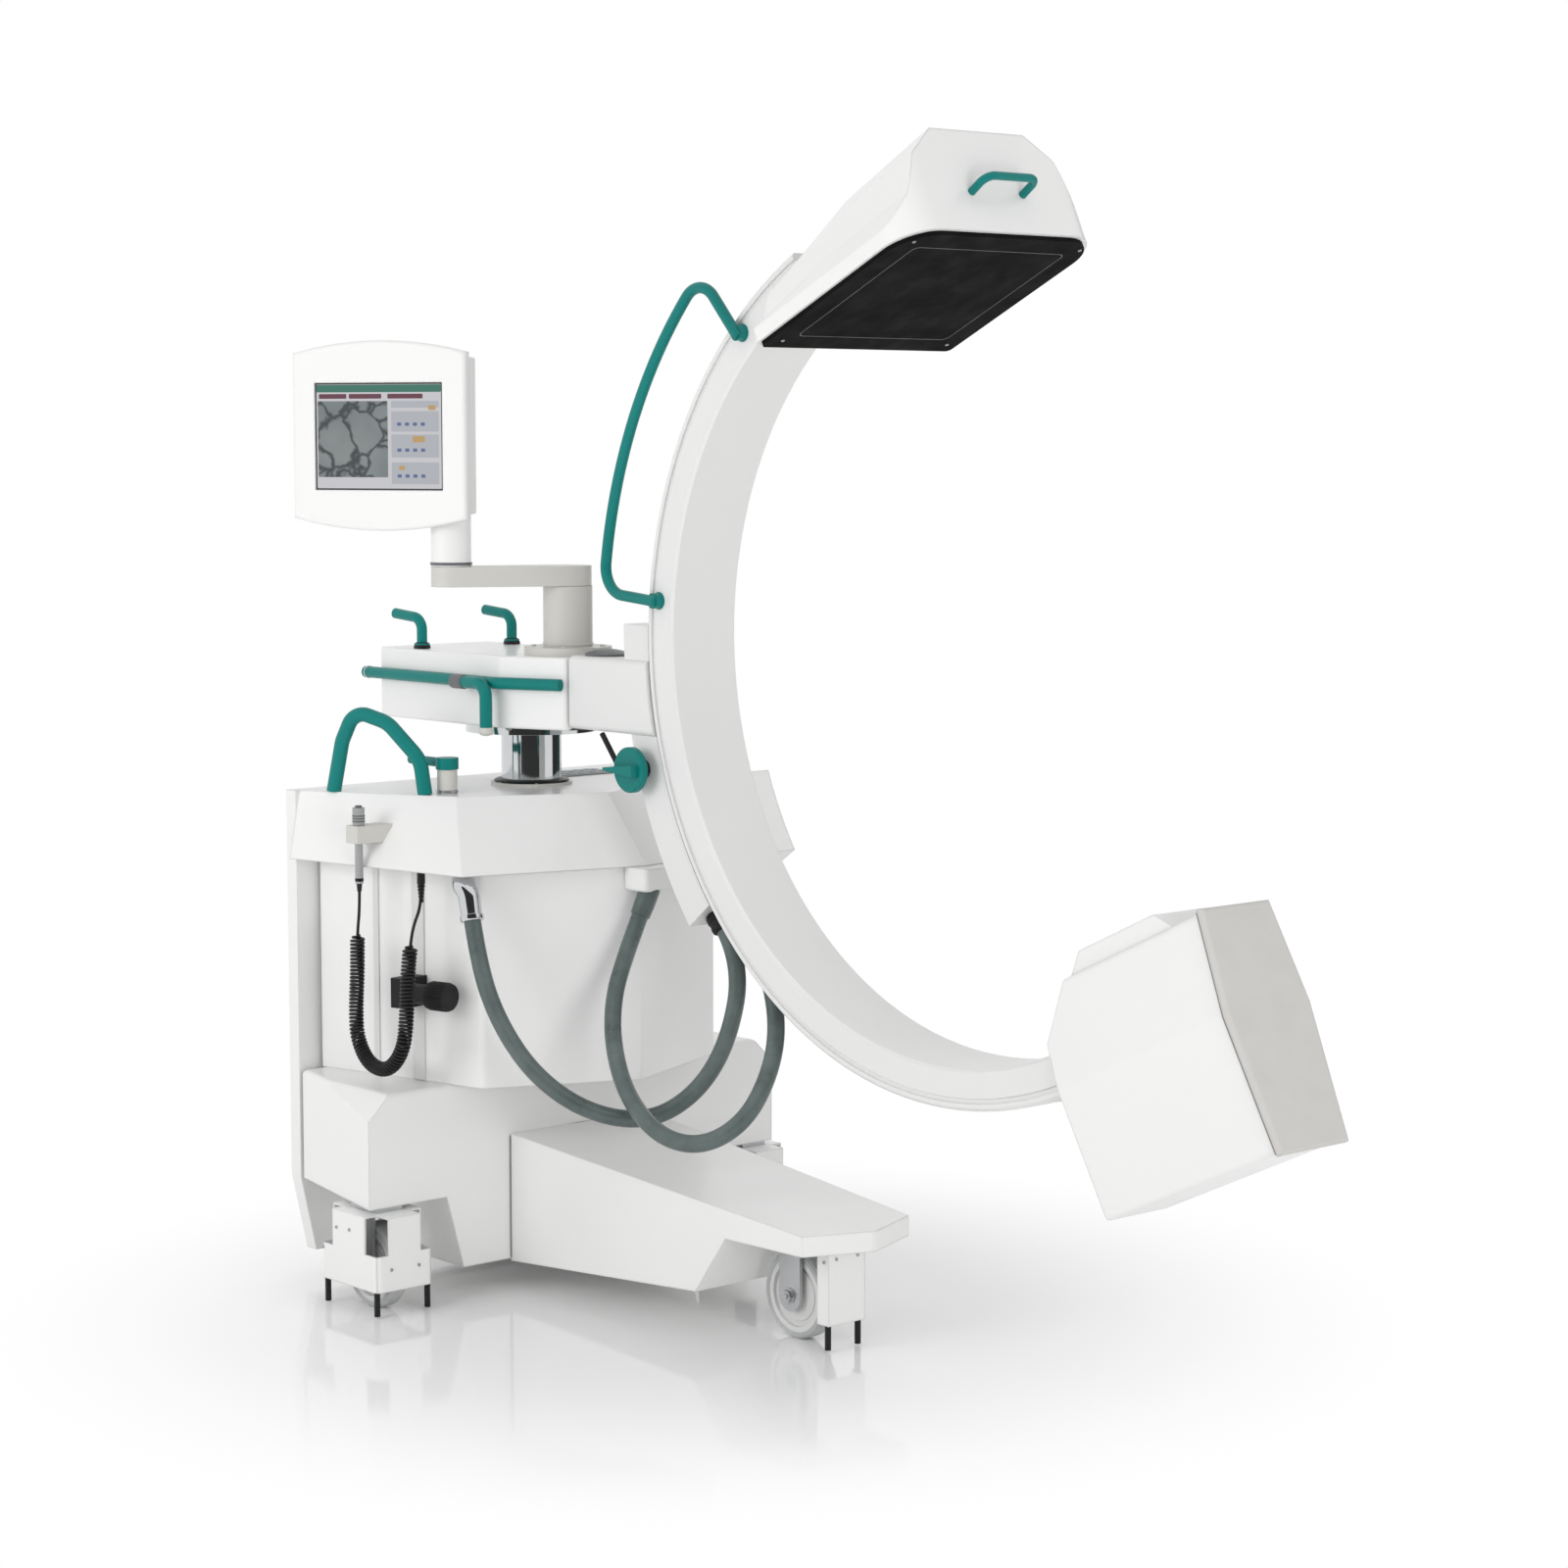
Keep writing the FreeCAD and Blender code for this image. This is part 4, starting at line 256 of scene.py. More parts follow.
def worked_metal(name, colour, shade, gloss, mark, rise):
    """Bare metal under a thin film, with the rings that turning or grinding left across it.
    The real rings are a tenth of a millimetre apart, so they are drawn about ten times as wide to show."""
    film_patches = 60
    edge = 0.5
    made, tree, place = start(name, Metallic=1.0)
    film = add(tree, NOISE, Vector=place, Scale=per_metre(film_patches), Detail=3.0)
    tone = add(tree, MIX, RGBA, in0=film.outputs["Fac"], in6=colour, in7=shade)
    stretched = add(tree, "ShaderNodeMapping", Vector=place, Scale=(0.08, 0.08, 1.0))
    rings = add(tree, NOISE, Vector=stretched.outputs["Vector"], Scale=per_metre(mark), Detail=2.0)
    fine = add(tree, RANGE, Value=rings.outputs["Fac"], From_Min=0.3, From_Max=0.7,
               To_Min=gloss * 0.7, To_Max=gloss * 1.4)
    soft = add(tree, "ShaderNodeBevel", {"samples": 4}, Radius=edge / METRE)
    bump = add(tree, "ShaderNodeBump", Strength=0.3, Distance=rise / METRE,
               Height=rings.outputs["Fac"], Normal=soft.outputs["Normal"])
    return shaded(made, Base_Color=tone.outputs[2], Roughness=fine.outputs["Result"],
                  Normal=bump.outputs["Normal"])


def display_glass():
    """Etched display glass over a dark rim: near black, with a soft sheen. The etching is drawn coarse
    enough to show."""
    etching = 1.2
    made, tree, place = start("display_glass", IOR=1.52, Coat_Weight=0.4, Coat_Roughness=0.2)
    etch = add(tree, NOISE, Vector=place, Scale=per_metre(etching), Detail=2.0)
    tone = add(tree, MIX, RGBA, in0=etch.outputs["Fac"], in6="#24292C", in7="#1D2123")
    haze = add(tree, RANGE, Value=etch.outputs["Fac"], To_Min=0.14, To_Max=0.24)
    return shaded(made, Base_Color=tone.outputs[2], Roughness=haze.outputs["Result"])


# How brightly the display is lit
BACKLIGHT = 0.66


def lit(name, colour, shade):
    """A part of the display's picture, lit from behind, in rows of picture points. Real rows are 0.27 mm
    apart, so they are drawn coarse enough to show. A wave of scale 1 has about three bands."""
    row = 1.4
    bands = 3
    made, tree, place = start(name, Base_Color="#2A2C2E", IOR=1.52, Roughness=0.3,
                              Emission_Strength=BACKLIGHT)
    rows = add(tree, "ShaderNodeTexWave", {"bands_direction": "Z"}, Vector=place,
               Scale=per_metre(row) / bands)
    tone = add(tree, MIX, RGBA, in0=rows.outputs["Fac"], in6=colour, in7=shade)
    return shaded(made, Emission_Color=tone.outputs[2])


def vessel_picture():
    """A grey picture with branching darker lines."""
    wander = 45
    branches = 38
    clouds = 60
    made, tree, place = start("vessel_picture", Base_Color="#1E2122", Roughness=0.3,
                              Emission_Strength=BACKLIGHT)
    bend = add(tree, NOISE, Vector=place, Scale=per_metre(wander), Detail=3.0)
    shifted = add(tree, MIX, {"data_type": "VECTOR"}, in0=0.05, in4=place, in5=bend.outputs["Color"])
    cells = add(tree, "ShaderNodeTexVoronoi", {"feature": "DISTANCE_TO_EDGE"}, Vector=shifted.outputs[1],
                Scale=per_metre(branches))
    vessel = add(tree, RANGE, Value=cells.outputs["Distance"], From_Min=0.02, From_Max=0.10)
    soft = add(tree, NOISE, Vector=place, Scale=per_metre(clouds), Detail=2.0)
    tissue = add(tree, MIX, RGBA, in0=soft.outputs["Fac"], in6="#6C7677", in7="#A1A9A9")
    tone = add(tree, MIX, RGBA, in0=vessel.outputs["Result"], in6="#3C4446", in7=tissue.outputs[2])
    return shaded(made, Emission_Color=tone.outputs[2])


MATERIALS = {
    # Foamed polyurethane covers, filled, lacquered and baked: satin white with a soft deep gloss
    "white_cover": lacquer("white_cover", "#F1F1F0", "#EDEDEC", gloss=0.33, peel=2.4, rise=0.020,
                           edge=4.0, coat=0.25),
    # Extruded and cast aluminium, powder coated: the peel is coarser and the gloss lower. Its white, a
    # little below the covers', is partly painted shade for the C's inner face
    "white_arc": lacquer("powder_coated_aluminium", "#E9E9E8", "#E3E3E2", gloss=0.38, peel=3.4,
                         rise=0.040, edge=1.2, coat=0.12),
    # Aluminium castings with a light grey enamel: a little duller than the covers
    "light_metal": lacquer("grey_enamel", "#D1CFCA", "#C9C7C2", gloss=0.40, peel=2.8, rise=0.030,
                           edge=1.5, coat=0.10),
    # Steel tube dipped in nylon powder: a thick satin skin that rounds every edge
    "teal": lacquer("nylon_coated_tube", "#12837E", "#0E736E", gloss=0.34, peel=1.6, rise=0.030,
                    edge=1.2, coat=0.05, specular=0.2),
    # Hard chrome on a ground steel column: a mirror with the faintest rings
    "chrome": worked_metal("hard_chrome", "#D4D6D8", "#C6C8CA", gloss=0.07, mark=1.2, rise=0.002),
    # Turned and ground steel under a thin film of oil: bright but not a mirror
    "steel": worked_metal("ground_steel", "#CBCDCF", "#BCBEC0", gloss=0.36, mark=0.9, rise=0.010),
    # Glass-filled nylon: black with a dry satin grain
    "black": moulded("glass_filled_nylon", "#191919", "#131313", gloss=0.50, grain=1.0, rise=0.05,
                     specular=0.3),
    # Moulded ABS in dark grey: an even satin
    "dark_grey": moulded("dark_grey_abs", "#6A6C6D", "#5E6061", gloss=0.42, grain=0.9, rise=0.04),
    # Polyurethane cover with a leather-like textured paint: soft edges and hardly any gloss. Its grey is
    # partly its own and partly painted shade, darkened for the face turned away from the key lamp
    "grey_cover": moulded("textured_grey_cover", "#CDCBC8", "#C5C3C0", gloss=0.46, grain=1.4,
                          rise=0.07, edge=3.0),
    # Synthetic rubber hose with a smooth outer skin: greenish grey with a dull shine
    "rubber": rubbery("hose_rubber", "#505C5A", "#65716F", gloss=0.27, grain=1.1),
    # Black polyurethane cord and pins: nearly black, with a soft shine
    "black_rubber": rubbery("black_cord_sheath", "#0E0F0F", "#161717", gloss=0.34, grain=0.9),
    # Cast nylon wheels: off-white and satin
    "wheel": moulded("cast_nylon_wheel", "#E4E4E3", "#D9D9D8", gloss=0.40, grain=1.1, rise=0.04),
    # Grey non-marking rubber on the wheels, with floor dirt in it
    "tyre": rubbery("non_marking_tyre", "#C3C4C5", "#ADAEAF", gloss=0.55, grain=1.4),
    "screen": display_glass(),
}

# Finishes of single pieces, beside those of the material slots
FINISHES = {made.name: made for made in (
    # The shadow in a joint between two covers
    rubbery("joint_shadow", "#8D8D8B", "#7E7E7C", gloss=0.8, grain=1.5),
    # Silicone switch pads, soft to the touch: dull and pale grey
    rubbery("key_pad", "#BFC2C4", "#B2B5B7", gloss=0.5, grain=0.8),
    # The cabinet's side strips: the covers' lacquer in a pale grey, which is painted shade for the grey
    # bands on the side walls
    lacquer("strip_grey", "#DCDCDB", "#D6D6D5", gloss=0.40, peel=2.4, rise=0.020, edge=1.0,
            coat=0.1),
    # The detector's face: carbon fibre laid up in resin and rubbed matt, so that it hardly shines
    moulded("carbon_face", "#161616", "#101010", gloss=0.75, grain=1.2, rise=0.03,
             specular=0.06),
    # The hand switch's moulded body: grey ABS polished by hands
    moulded("switch_body", "#A4A5A6", "#999A9B", gloss=0.34, grain=0.9, rise=0.03),
    lit("header_bar", "#1E7F68", "#1A745F"),
    lit("warning_bar", "#5A1030", "#74203F"),
    lit("light_block", "#C9CCD3", "#C2C5CC"),
    lit("pale_block", "#E7E6EA", "#DFDEE3"),
    lit("amber_button", "#D9B26A", "#CFA65C"),
    lit("blue_button", "#5E73A8", "#566B9E"),
    vessel_picture(),
)}


def dress_cad():
    """Gives each CAD node the material of its slot in the record."""
    for entry in frame["record"]["subparts"]:
        dressed = bpy.data.objects[entry["node"]]
        dressed.data.materials.clear()
        dressed.data.materials.append(MATERIALS[entry["material_slot"]])
    for node, finish in (("hand_switch", "switch_body"), ("detector_face", "carbon_face")):
        bpy.data.objects[node].data.materials[0] = FINISHES[finish]


# Pieces made in mesh code

class Form:
    """A mesh in the making, in millimetres."""

    def __init__(self):
        self.corners = []
        self.faces = []

    def skin(self, rings, capped=True):
        """Joins rings of as many points each with faces, and closes both ends."""
        first = len(self.corners)
        count = len(rings[0])
        for ring in rings:
            self.corners += [Vector(spot) for spot in ring]
        for row in range(len(rings) - 1):
            here = first + row * count
            for step in range(count):
                after = (step + 1) % count
                self.faces.append((here + step, here + after, here + count + after, here + count + step))
        if capped:
            top = first + (len(rings) - 1) * count
            self.faces.append(tuple(first + step for step in reversed(range(count))))
            self.faces.append(tuple(top + step for step in range(count)))

    def turned(self, profile, seat, axis, steps=32):
        """A lathe form: radii and heights along an axis from its seat. A third value of 6 cuts a hexagon."""
        turn = Vector(axis).to_track_quat("Z", "Y")
        rings = []
        for radius, height, *sides in profile:
            ring = []
            for step in range(steps):
                angle = tau * step / steps
                reach = max(radius, 0.01)
                if sides:
                    part = pi / sides[0]
                    reach = radius * cos(part) / cos((angle % (2 * part)) - part)
                spot = Vector((reach * cos(angle), reach * sin(angle), height))
                ring.append(Vector(seat) + turn @ spot)
            rings.append(ring)
        self.skin(rings)

    def swept(self, line, radius, steps=12):
        """A tube along a line. Its radius is one number, or one for each point of the line."""
        radii = radius if isinstance(radius, list) else [radius] * len(line)
        rings = []
        for (spot, _, side, up), reach in zip(stations(line), radii):
            ring = []
            for step in range(steps):
                angle = tau * step / steps
                ring.append(spot + side * (reach * cos(angle)) + up * (reach * sin(angle)))
            rings.append(ring)
        self.skin(rings)

    def slab(self, place, outline, thick, edge=0.6):
        """A plate on an outline, with its upper edge broken. The place's Z axis points out of it."""
        middle = sum((Vector(spot) for spot in outline), Vector((0, 0))) / len(outline)
        wide = max((Vector(spot) - middle).length for spot in outline)
        shrunk = [middle + (Vector(spot) - middle) * (1 - edge / wide) for spot in outline]
        levels = [(outline, 0.0), (outline, thick - min(edge, thick / 2)), (shrunk, thick)]
        self.skin([[place @ Vector((*spot, level)) for spot in drawn] for drawn, level in levels])

    def mesh(self, name):
        """The finished mesh in metres, smooth but for its sharp edges."""
        made = bpy.data.meshes.new(name)
        made.from_pydata([corner / METRE for corner in self.corners], [], self.faces)
        work = bmesh.new()
        work.from_mesh(made)
        bmesh.ops.recalc_face_normals(work, faces=work.faces)
        work.to_mesh(made)
        work.free()
        for face in made.polygons:
            face.use_smooth = True
        made.set_sharp_from_angle(angle=radians(32))
        return made


def stations(line):
    """Each point of a line with its direction and two directions across it that don't twist."""
    line = [Vector(spot) for spot in line]
    across = (line[1] - line[0]).normalized().orthogonal().normalized()
    made = []
    for index, spot in enumerate(line):
        before = line[max(index - 1, 0)]
        after = line[min(index + 1, len(line) - 1)]
        ahead = (after - before).normalized()
        across = (across - ahead * across.dot(ahead)).normalized()
        made.append((spot, ahead, across, ahead.cross(across)))
    return made


def placed(name, data):
    """A new object in the scene."""
    made = bpy.data.objects.new(name, data)
    bpy.context.scene.collection.objects.link(made)
    return made


def piece(name, form, body, slot, material=None):
    """Adds a form as a piece that rides on a body, or on none."""
    mesh = form.mesh(name)
    mesh.materials.append(material or MATERIALS[slot])
    made = placed(name, mesh)
    if body:
        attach(made, body)
    return made


def rounded(wide, tall, corner, middle=(0, 0), steps=5):
    """A rectangle's outline with round corners."""
    outline = []
    for quarter, (x, y) in enumerate(((1, 1), (-1, 1), (-1, -1), (1, -1))):
        centre = Vector((middle[0] + x * (wide / 2 - corner), middle[1] + y * (tall / 2 - corner)))
        for step in range(steps + 1):
            angle = radians(90) * (quarter + step / steps)
            outline.append(centre + Vector((cos(angle), sin(angle))) * corner)
    return outline


def place_of(origin, right, up):
    """A place whose X and Y axes run along right and up, and whose Z axis points out of the plane."""
    right = Vector(right).normalized()
    up = Vector(up).normalized()
    out = right.cross(up)
    turn = Matrix((right, up, out)).transposed().to_4x4()
    return Matrix.Translation(Vector(origin)) @ turn


def met(node, origin, direction):
    """The spot where a straight line first meets a CAD node."""
    hit, spot, _, _ = bpy.data.objects[node].ray_cast(Vector(origin) / METRE, Vector(direction).normalized())
    if not hit:
        raise RuntimeError("no spot on %s from %s" % (node, tuple(origin)))
    return spot * METRE


def spots_round(middle, radius, count):
    """Spots at even angles on a level circle, the first half a step from its X axis."""
    made = []
    for step in range(count):
        angle = tau * (step + 0.5) / count
        made.append(middle + Vector((radius * cos(angle), radius * sin(angle), 0)))
    return made


def screw(form, seat, axis, radius, sunk=0.2):
    """A pan-head screw with a hexagon socket, as radii and heights that follow from its radius."""
    top = radius * 0.55
    profile = [(radius, -sunk), (radius, top * 0.5), (radius * 0.92, top * 0.85), (radius * 0.75, top),
               (radius * 0.52, top, 6), (radius * 0.5, top * 0.3, 6), (0, top * 0.25)]
    form.turned(profile, seat, axis, 24)


def line_of(points):
    """The points of the smooth line that a route's control points lead."""
    data = bpy.data.curves.new("route", "CURVE")
    data.dimensions = "3D"
    data.resolution_u = 12
    spline = data.splines.new("NURBS")
    spline.points.add(len(points) - 1)
    for target, place in zip(spline.points, points):
        target.co = (*place, 1.0)
    spline.order_u = 3
    spline.use_endpoint_u = True
    bare = placed("route", data)
    mesh = bpy.data.meshes.new_from_object(bare)
    places = [vertex.co.copy() for vertex in mesh.vertices]
    bpy.data.objects.remove(bare)
    return places


def evenly(line, spacing):
    """A line's points again, a spacing apart."""
    made = [line[0]]
    left = spacing
    for before, after in zip(line, line[1:]):
        run = (after - before).length
        travelled = 0.0
        while run - travelled >= left:
            travelled += left
            made.append(before.lerp(after, travelled / run))
            left = spacing
        left -= run - travelled
    return made


# The hoses and the cord

def gland_exit(side):
    """The seat and the direction of a hose's gland on the bearing's lower end."""
    off = ARC_OUTER + GLAND_OFF
    across = cos(GLAND_ANGLE)
    up = sin(GLAND_ANGLE)
    seat = C_CENTRE + Vector((off * across, side * GLAND_ASIDE, off * up))
    return seat, Vector((-up, 0, across))


def hose(name, points, side):
    """A hose from the stand to its gland on the bearing, swept along its route and riding on no body."""
    seat, out = gland_exit(side)
    end = seat + out * GLAND_LONG
    route = in_metres(points + [end + out * GLAND_RUN, end])
    line = line_of(route)
    form = Form()
    form.swept([spot * METRE for spot in line], HOSE_RADIUS, 24)
    made = piece(name + "_line", form, None, "rubber")
    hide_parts(name)
    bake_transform(made)


def switch_cord():
    """The hand switch's cord: a straight lead at each end and, between them, tight turns that widen to
    their full size over one and a half turns."""
    route = SWITCH_LEAD + SWITCH_CURL[1:] + PANEL_LEAD[1:]
    spacing = CURL_PITCH / CURL_STEPS
    line = evenly([spot * METRE for spot in line_of(in_metres(route))], spacing)

    def nearest(target):
        return min(range(len(line)), key=lambda index: (line[index] - Vector(target)).length)

    first = nearest(SWITCH_CURL[0])
    last = nearest(SWITCH_CURL[-1])
    ramp = 1.5 * CURL_STEPS
    path = []
    for index, (spot, _, side, up) in enumerate(stations(line)):
        rise = min(max(min(index - first, last - index) / ramp, 0.0), 1.0)
        reach = CURL_TURN * rise * rise * (3 - 2 * rise)
        angle = tau * (index - first) * spacing / CURL_PITCH
        path.append(spot + side * (reach * cos(angle)) + up * (reach * sin(angle)))
    form = Form()
    form.swept(path, WIRE_RADIUS, 8)
    made = piece("switch_cord_curl", form, None, "black_rubber")
    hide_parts("switch_cord")
    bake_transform(made)


def cord_glands():
    """The sleeves that the cords leave the stand through."""
    made = [hose_elbow(), *front_hose_sleeve(), lead_relief()]
    for sleeve_piece in made:
        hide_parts("cord_glands")


def hose_elbow():
    """The side hose's chromed elbow, which bends down from the cabinet, narrows and ends in a nut."""
    mouth = Vector(SIDE_HOSE[0])
    along = (Vector(SIDE_HOSE[1]) - mouth).normalized()
    bend = [mouth + Vector((-34, 14, 26)), mouth + Vector((-14, -4, 26)), mouth + Vector((-2, 0, 12)),
            mouth + along * 8, mouth + along * 24]
    line = [spot * METRE for spot in line_of(in_metres(bend))]
    radius = 17.0
    narrowing = 1.5
    elbow = Form()
    elbow.swept(line, [radius - narrowing * step / len(line) for step in range(len(line))], 24)
    elbow.turned([(15.5, 0), (17.5, 0.5), (17.5, 7), (16.4, 9), (13.2, 9)], mouth + along * 20, along)
    return piece("hose_elbow", elbow, "stand", "chrome")


def front_hose_sleeve():
    """The front hose's rubber sleeve and the block under the console that it hangs from."""
    seat = Vector(FRONT_HOSE[0])
    back = (seat - Vector(FRONT_HOSE[1])).normalized()
    sleeve = Form()
    sleeve.turned([(13.0, -16), (14.6, -15), (15.2, -2), (15.6, 0), (15.6, 30), (14, 34)], seat, back)
    under_console = place_of((-355, 0, CONSOLE_BOTTOM), (1, 0, 0), (0, -1, 0))
    block = Form()
    block.slab(under_console, rounded(52, 56, 8), 34, 3)
    return (piece("front_hose_sleeve", sleeve, "stand", "rubber"),
            piece("front_hose_block", block, "stand", "white_cover"))


def lead_relief():
    """The ribbed rubber sleeve that the hand switch's cord leaves the console through."""
    relief = Form()
    end = Vector(PANEL_LEAD[-1])
    profile = [(2.6, -26), (3.2, -26)]
    for rib in range(5):
        low = -24 + rib * 5
        wide = 3.6 + rib * 0.5
        narrow = wide - 0.9
        profile += [(wide, low), (wide, low + 3), (narrow, low + 3.4), (narrow, low + 4.6)]
    relief.turned(profile + [(6, 1), (6, CONSOLE_BOTTOM - end.z)], end, UP, 20)
    return piece("lead_relief", relief, "stand", "black_rubber")


def gland_rings():
    """The clamping nuts on the bearing's two glands."""
    form = Form()
    for side in (-1, 1):
        seat, out = gland_exit(side)
        form.turned([(17.2, 3), (18.4, 3.6), (18.4, 11), (17.2, 12)], seat, out, 36)
        form.turned([(17.2, 20), (17.9, 20.6), (17.2, 26), (13.4, 29), (12.6, 29)], seat, out, 36)
    piece("bearing_gland_nuts", form, "head", "black")


# The monitor

def screen_picture():
    """A plain working picture on the display: a bar, an image and blocks of buttons."""
    middle_z = MONITOR_BOTTOM + 42 + DISPLAY_TALL / 2
    place = MONITOR_FRAME @ place_of((DISPLAY_FACE, MONITOR_MIDDLE, middle_z), (0, 1, 0), UP)
    margin = 5
    wide = DISPLAY_WIDE - margin

    def blocks(name, finish, rows, thick=0.25):
        form = Form()
        for across, up, block_wide, block_tall in rows:
            form.slab(place, rounded(block_wide, block_tall, 1.5, (across, up), 3), thick, 0.1)
        piece(name, form, "monitor", "screen", FINISHES[finish])

    # Each block is its middle across and up, its width and its height
    blocks("picture_ground", "pale_block", [(0, 0, wide, DISPLAY_TALL - margin)], 0.15)
    blocks("picture_header", "header_bar", [(0, 70.5, wide, 11)])
    blocks("picture_notice", "warning_bar", [(-76, 59, 46, 7), (-22, 59, 54, 7), (44, 59, 58, 7)])
    blocks("picture_image", "vessel_picture", [(-43, -4, 116, 112)])
    pale = [(60, 47, 78, 10), (60, 22, 78, 30), (60, -14, 78, 34), (60, -54, 78, 32)]
    blocks("picture_fields", "light_block", pale, 0.35)
    amber = [(88, 42, 12, 7), (66, -4, 20, 9), (38, -46, 10, 6)]
    blocks("picture_amber", "amber_button", amber, 0.5)
    small = [(34 + 13 * column, 18 - 38 * row, 7, 5) for row in range(3) for column in range(4)]
    blocks("picture_blue", "blue_button", small, 0.5)


def monitor_details():
    """The joints beside the bezel, the air slots behind, the neck's ring and the post's with its screws."""
    bezel_back = MONITOR_FRONT - BEZEL_DEEP
    corner = 8
    joint = Form()
    for side in (-1, 1):
        edge = side * (MONITOR_HALF - corner + 0.15)
        spot = Vector((bezel_back - 0.6, MONITOR_MIDDLE + edge, MONITOR_BOTTOM + 7))
        run = [MONITOR_FRAME @ spot, MONITOR_FRAME @ (spot + Vector((0, 0, 230)))]
        joint.swept(run, 0.7, 8)
    piece("bezel_joint", joint, "monitor", "white_cover", FINISHES["joint_shadow"])

    slots = Form()
    for row in range(9):
        for side in (-1, 1):
            height = MONITOR_BOTTOM + 150 + 8 * row
            spot = (bezel_back - SHELL_DEEP + 0.05, MONITOR_MIDDLE + side * 46, height)
            place = MONITOR_FRAME @ place_of(spot, (0, -1, 0), UP)
            slots.slab(place, rounded(66, 3, 1.4), 0.35, 0.2)
    piece("monitor_air_slots", slots, "monitor", "black")

    ring = Form()
    neck_foot = MONITOR_NECK + Vector((0, 0, 1076))
    ring.turned([(30.1, 1), (31.2, 1.4), (31.2, 5), (30.1, 5.6)], neck_foot, UP, 48)
    piece("monitor_neck_ring", ring, "monitor", "dark_grey")

    post = Form()
    post_foot = Vector((-545, 0, CARRIAGE_TOP + 12))
    post.turned([(37.1, 2), (38.2, 2.4), (38.2, 5.4), (37.1, 6)], post_foot, UP, 48)
    for spot in spots_round(post_foot, 52, 4):
        screw(post, spot, UP, 4.2)
    piece("monitor_post_fixings", post, "turret", "light_metal")


# The detector, the tube and the C

def detector_details():
    """The line round the detector's working area and the screws of its face plate."""
    level = 454
    field_middle = 128.5
    place = C_FRAME @ place_of((field_middle, 0, level), (0, 1, 0), (1, 0, 0))
    line = Form()
    outline = rounded(272, 250, 10)
    rings = []
    half = 130
    for inset, rise in ((0, -0.1), (0, 0.25), (0.9, 0.25), (0.9, -0.1)):
        shrink = 1 - inset / half
        rings.append([place @ Vector((*(spot * shrink), rise)) for spot in outline])
    line.skin(rings, False)
    piece("detector_field_line", line, "c_body", "dark_grey")

    screws = Form()
    out = C_FRAME.to_3x3() @ Vector((0, 0, -1))
    for along in (-10, 267):
        for across in (-150, 150):
            screw(screws, C_FRAME @ Vector((along, across, level)), out, 2.6, 0.6)
    piece("detector_face_screws", screws, "c_body", "steel")


def tube_details():
    """The joint behind the tube's cover, the beam window's pane and a dark plate on the dome's back slope.
    """
    joint = Form()
    place = C_FRAME @ place_of((286, 0, 0), (0, 1, 0), UP)
    # The cover's outline, wider and higher by a little, as places across and up from the C's centre
    grow = 1.6
    half = [(59 + grow, -765 - grow), (72.5 + grow, -591), (59 + grow, -461 + grow)]
    outline = half + [(-across, up) for across, up in reversed(half)]
    joint.slab(place, outline, 4.5, 0.5)
    piece("tube_cover_joint", joint, "c_body", "grey_cover", FINISHES["joint_shadow"])
    pane = Form()
    level = C_FRAME @ place_of((141, 0, -442), (0, 1, 0), (-1, 0, 0))
    pane.slab(level, rounded(59, 83, 1.0), 2.0, 0.4)
    # A dark plate laid on the dome's back slope
    slope = C_FRAME @ place_of((58.5, 0, -448.5), (0, -1, 0), (1, 0, 1))
    pane.slab(slope, rounded(94, 31, 3), 0.8, 0.5)
    piece("beam_window", pane, "c_body", "dark_grey")


def bow_fixings():
    """The round washers at the bow handle's feet."""
    form = Form()
    side = C_FRAME.to_3x3() @ Vector((0, -1, 0))
    foot = 574
    near_side = -60
    for degrees in (107.4, 150):
        angle = radians(degrees)
        spot = C_FRAME @ Vector((foot * cos(angle), near_side, foot * sin(angle)))
        form.turned([(12.5, -0.2), (12.5, 1.2), (11.4, 2.0), (10.5, 2.0)], spot, side, 36)
    piece("bow_washers", form, "c_body", "teal")


# The head, the carriage and the column

def rail_fittings():
    """The rails' end rings, and the side lever's dark sleeve and foot."""
    rings = Form()
    for side in (-1, 1):
        rail_end = (-905, side * RAIL_ASIDE, RAIL_HEIGHT)
        rings.turned([(9.1, 0), (9.8, 0.4), (9.8, 3), (9.1, 3.4)], rail_end, (1, 0, 0), 28)
    piece("rail_rings", rings, "turret", "steel")
    sleeve = Form()
    lever_start = (-648, -LEVER_ASIDE, RAIL_HEIGHT)
    sleeve.turned([(9.6, -4), (11, -3.2), (11, 23), (9.6, 24)], lever_start, (1, 0, 0), 28)
    piece("side_lever_sleeve", sleeve, "lever_side", "dark_grey")
    ear = Form()
    profile = [(6, 0), (9.4, 1), (11, 4), (11, 9), (9, 12), (4, 13.5), (0, 13.5)]
    ear.turned(profile, (-572, -LEVER_ASIDE, RAIL_HEIGHT - 64), (0, 0, -1), 28)
    piece("side_lever_foot", ear, "lever_side", "light_metal")


def lever_collars():
    """A black collar round the foot of each brake lever: painted shade for the dark at the lever's foot."""
    for name, side in (("left", 1), ("right", -1)):
        collar = Form()
        collar.turned([(12.1, 0.2), (13.4, 0.4), (13.0, 4), (9.4, 9.4), (8.1, 9.6)],
                      (-801, side * 86, CARRIAGE_TOP + 0.3), UP, 28)
        # The collar's black is painted shade at the foot of the lever
        piece("brake_collar_" + name, collar, "lever_" + name, "black_rubber")


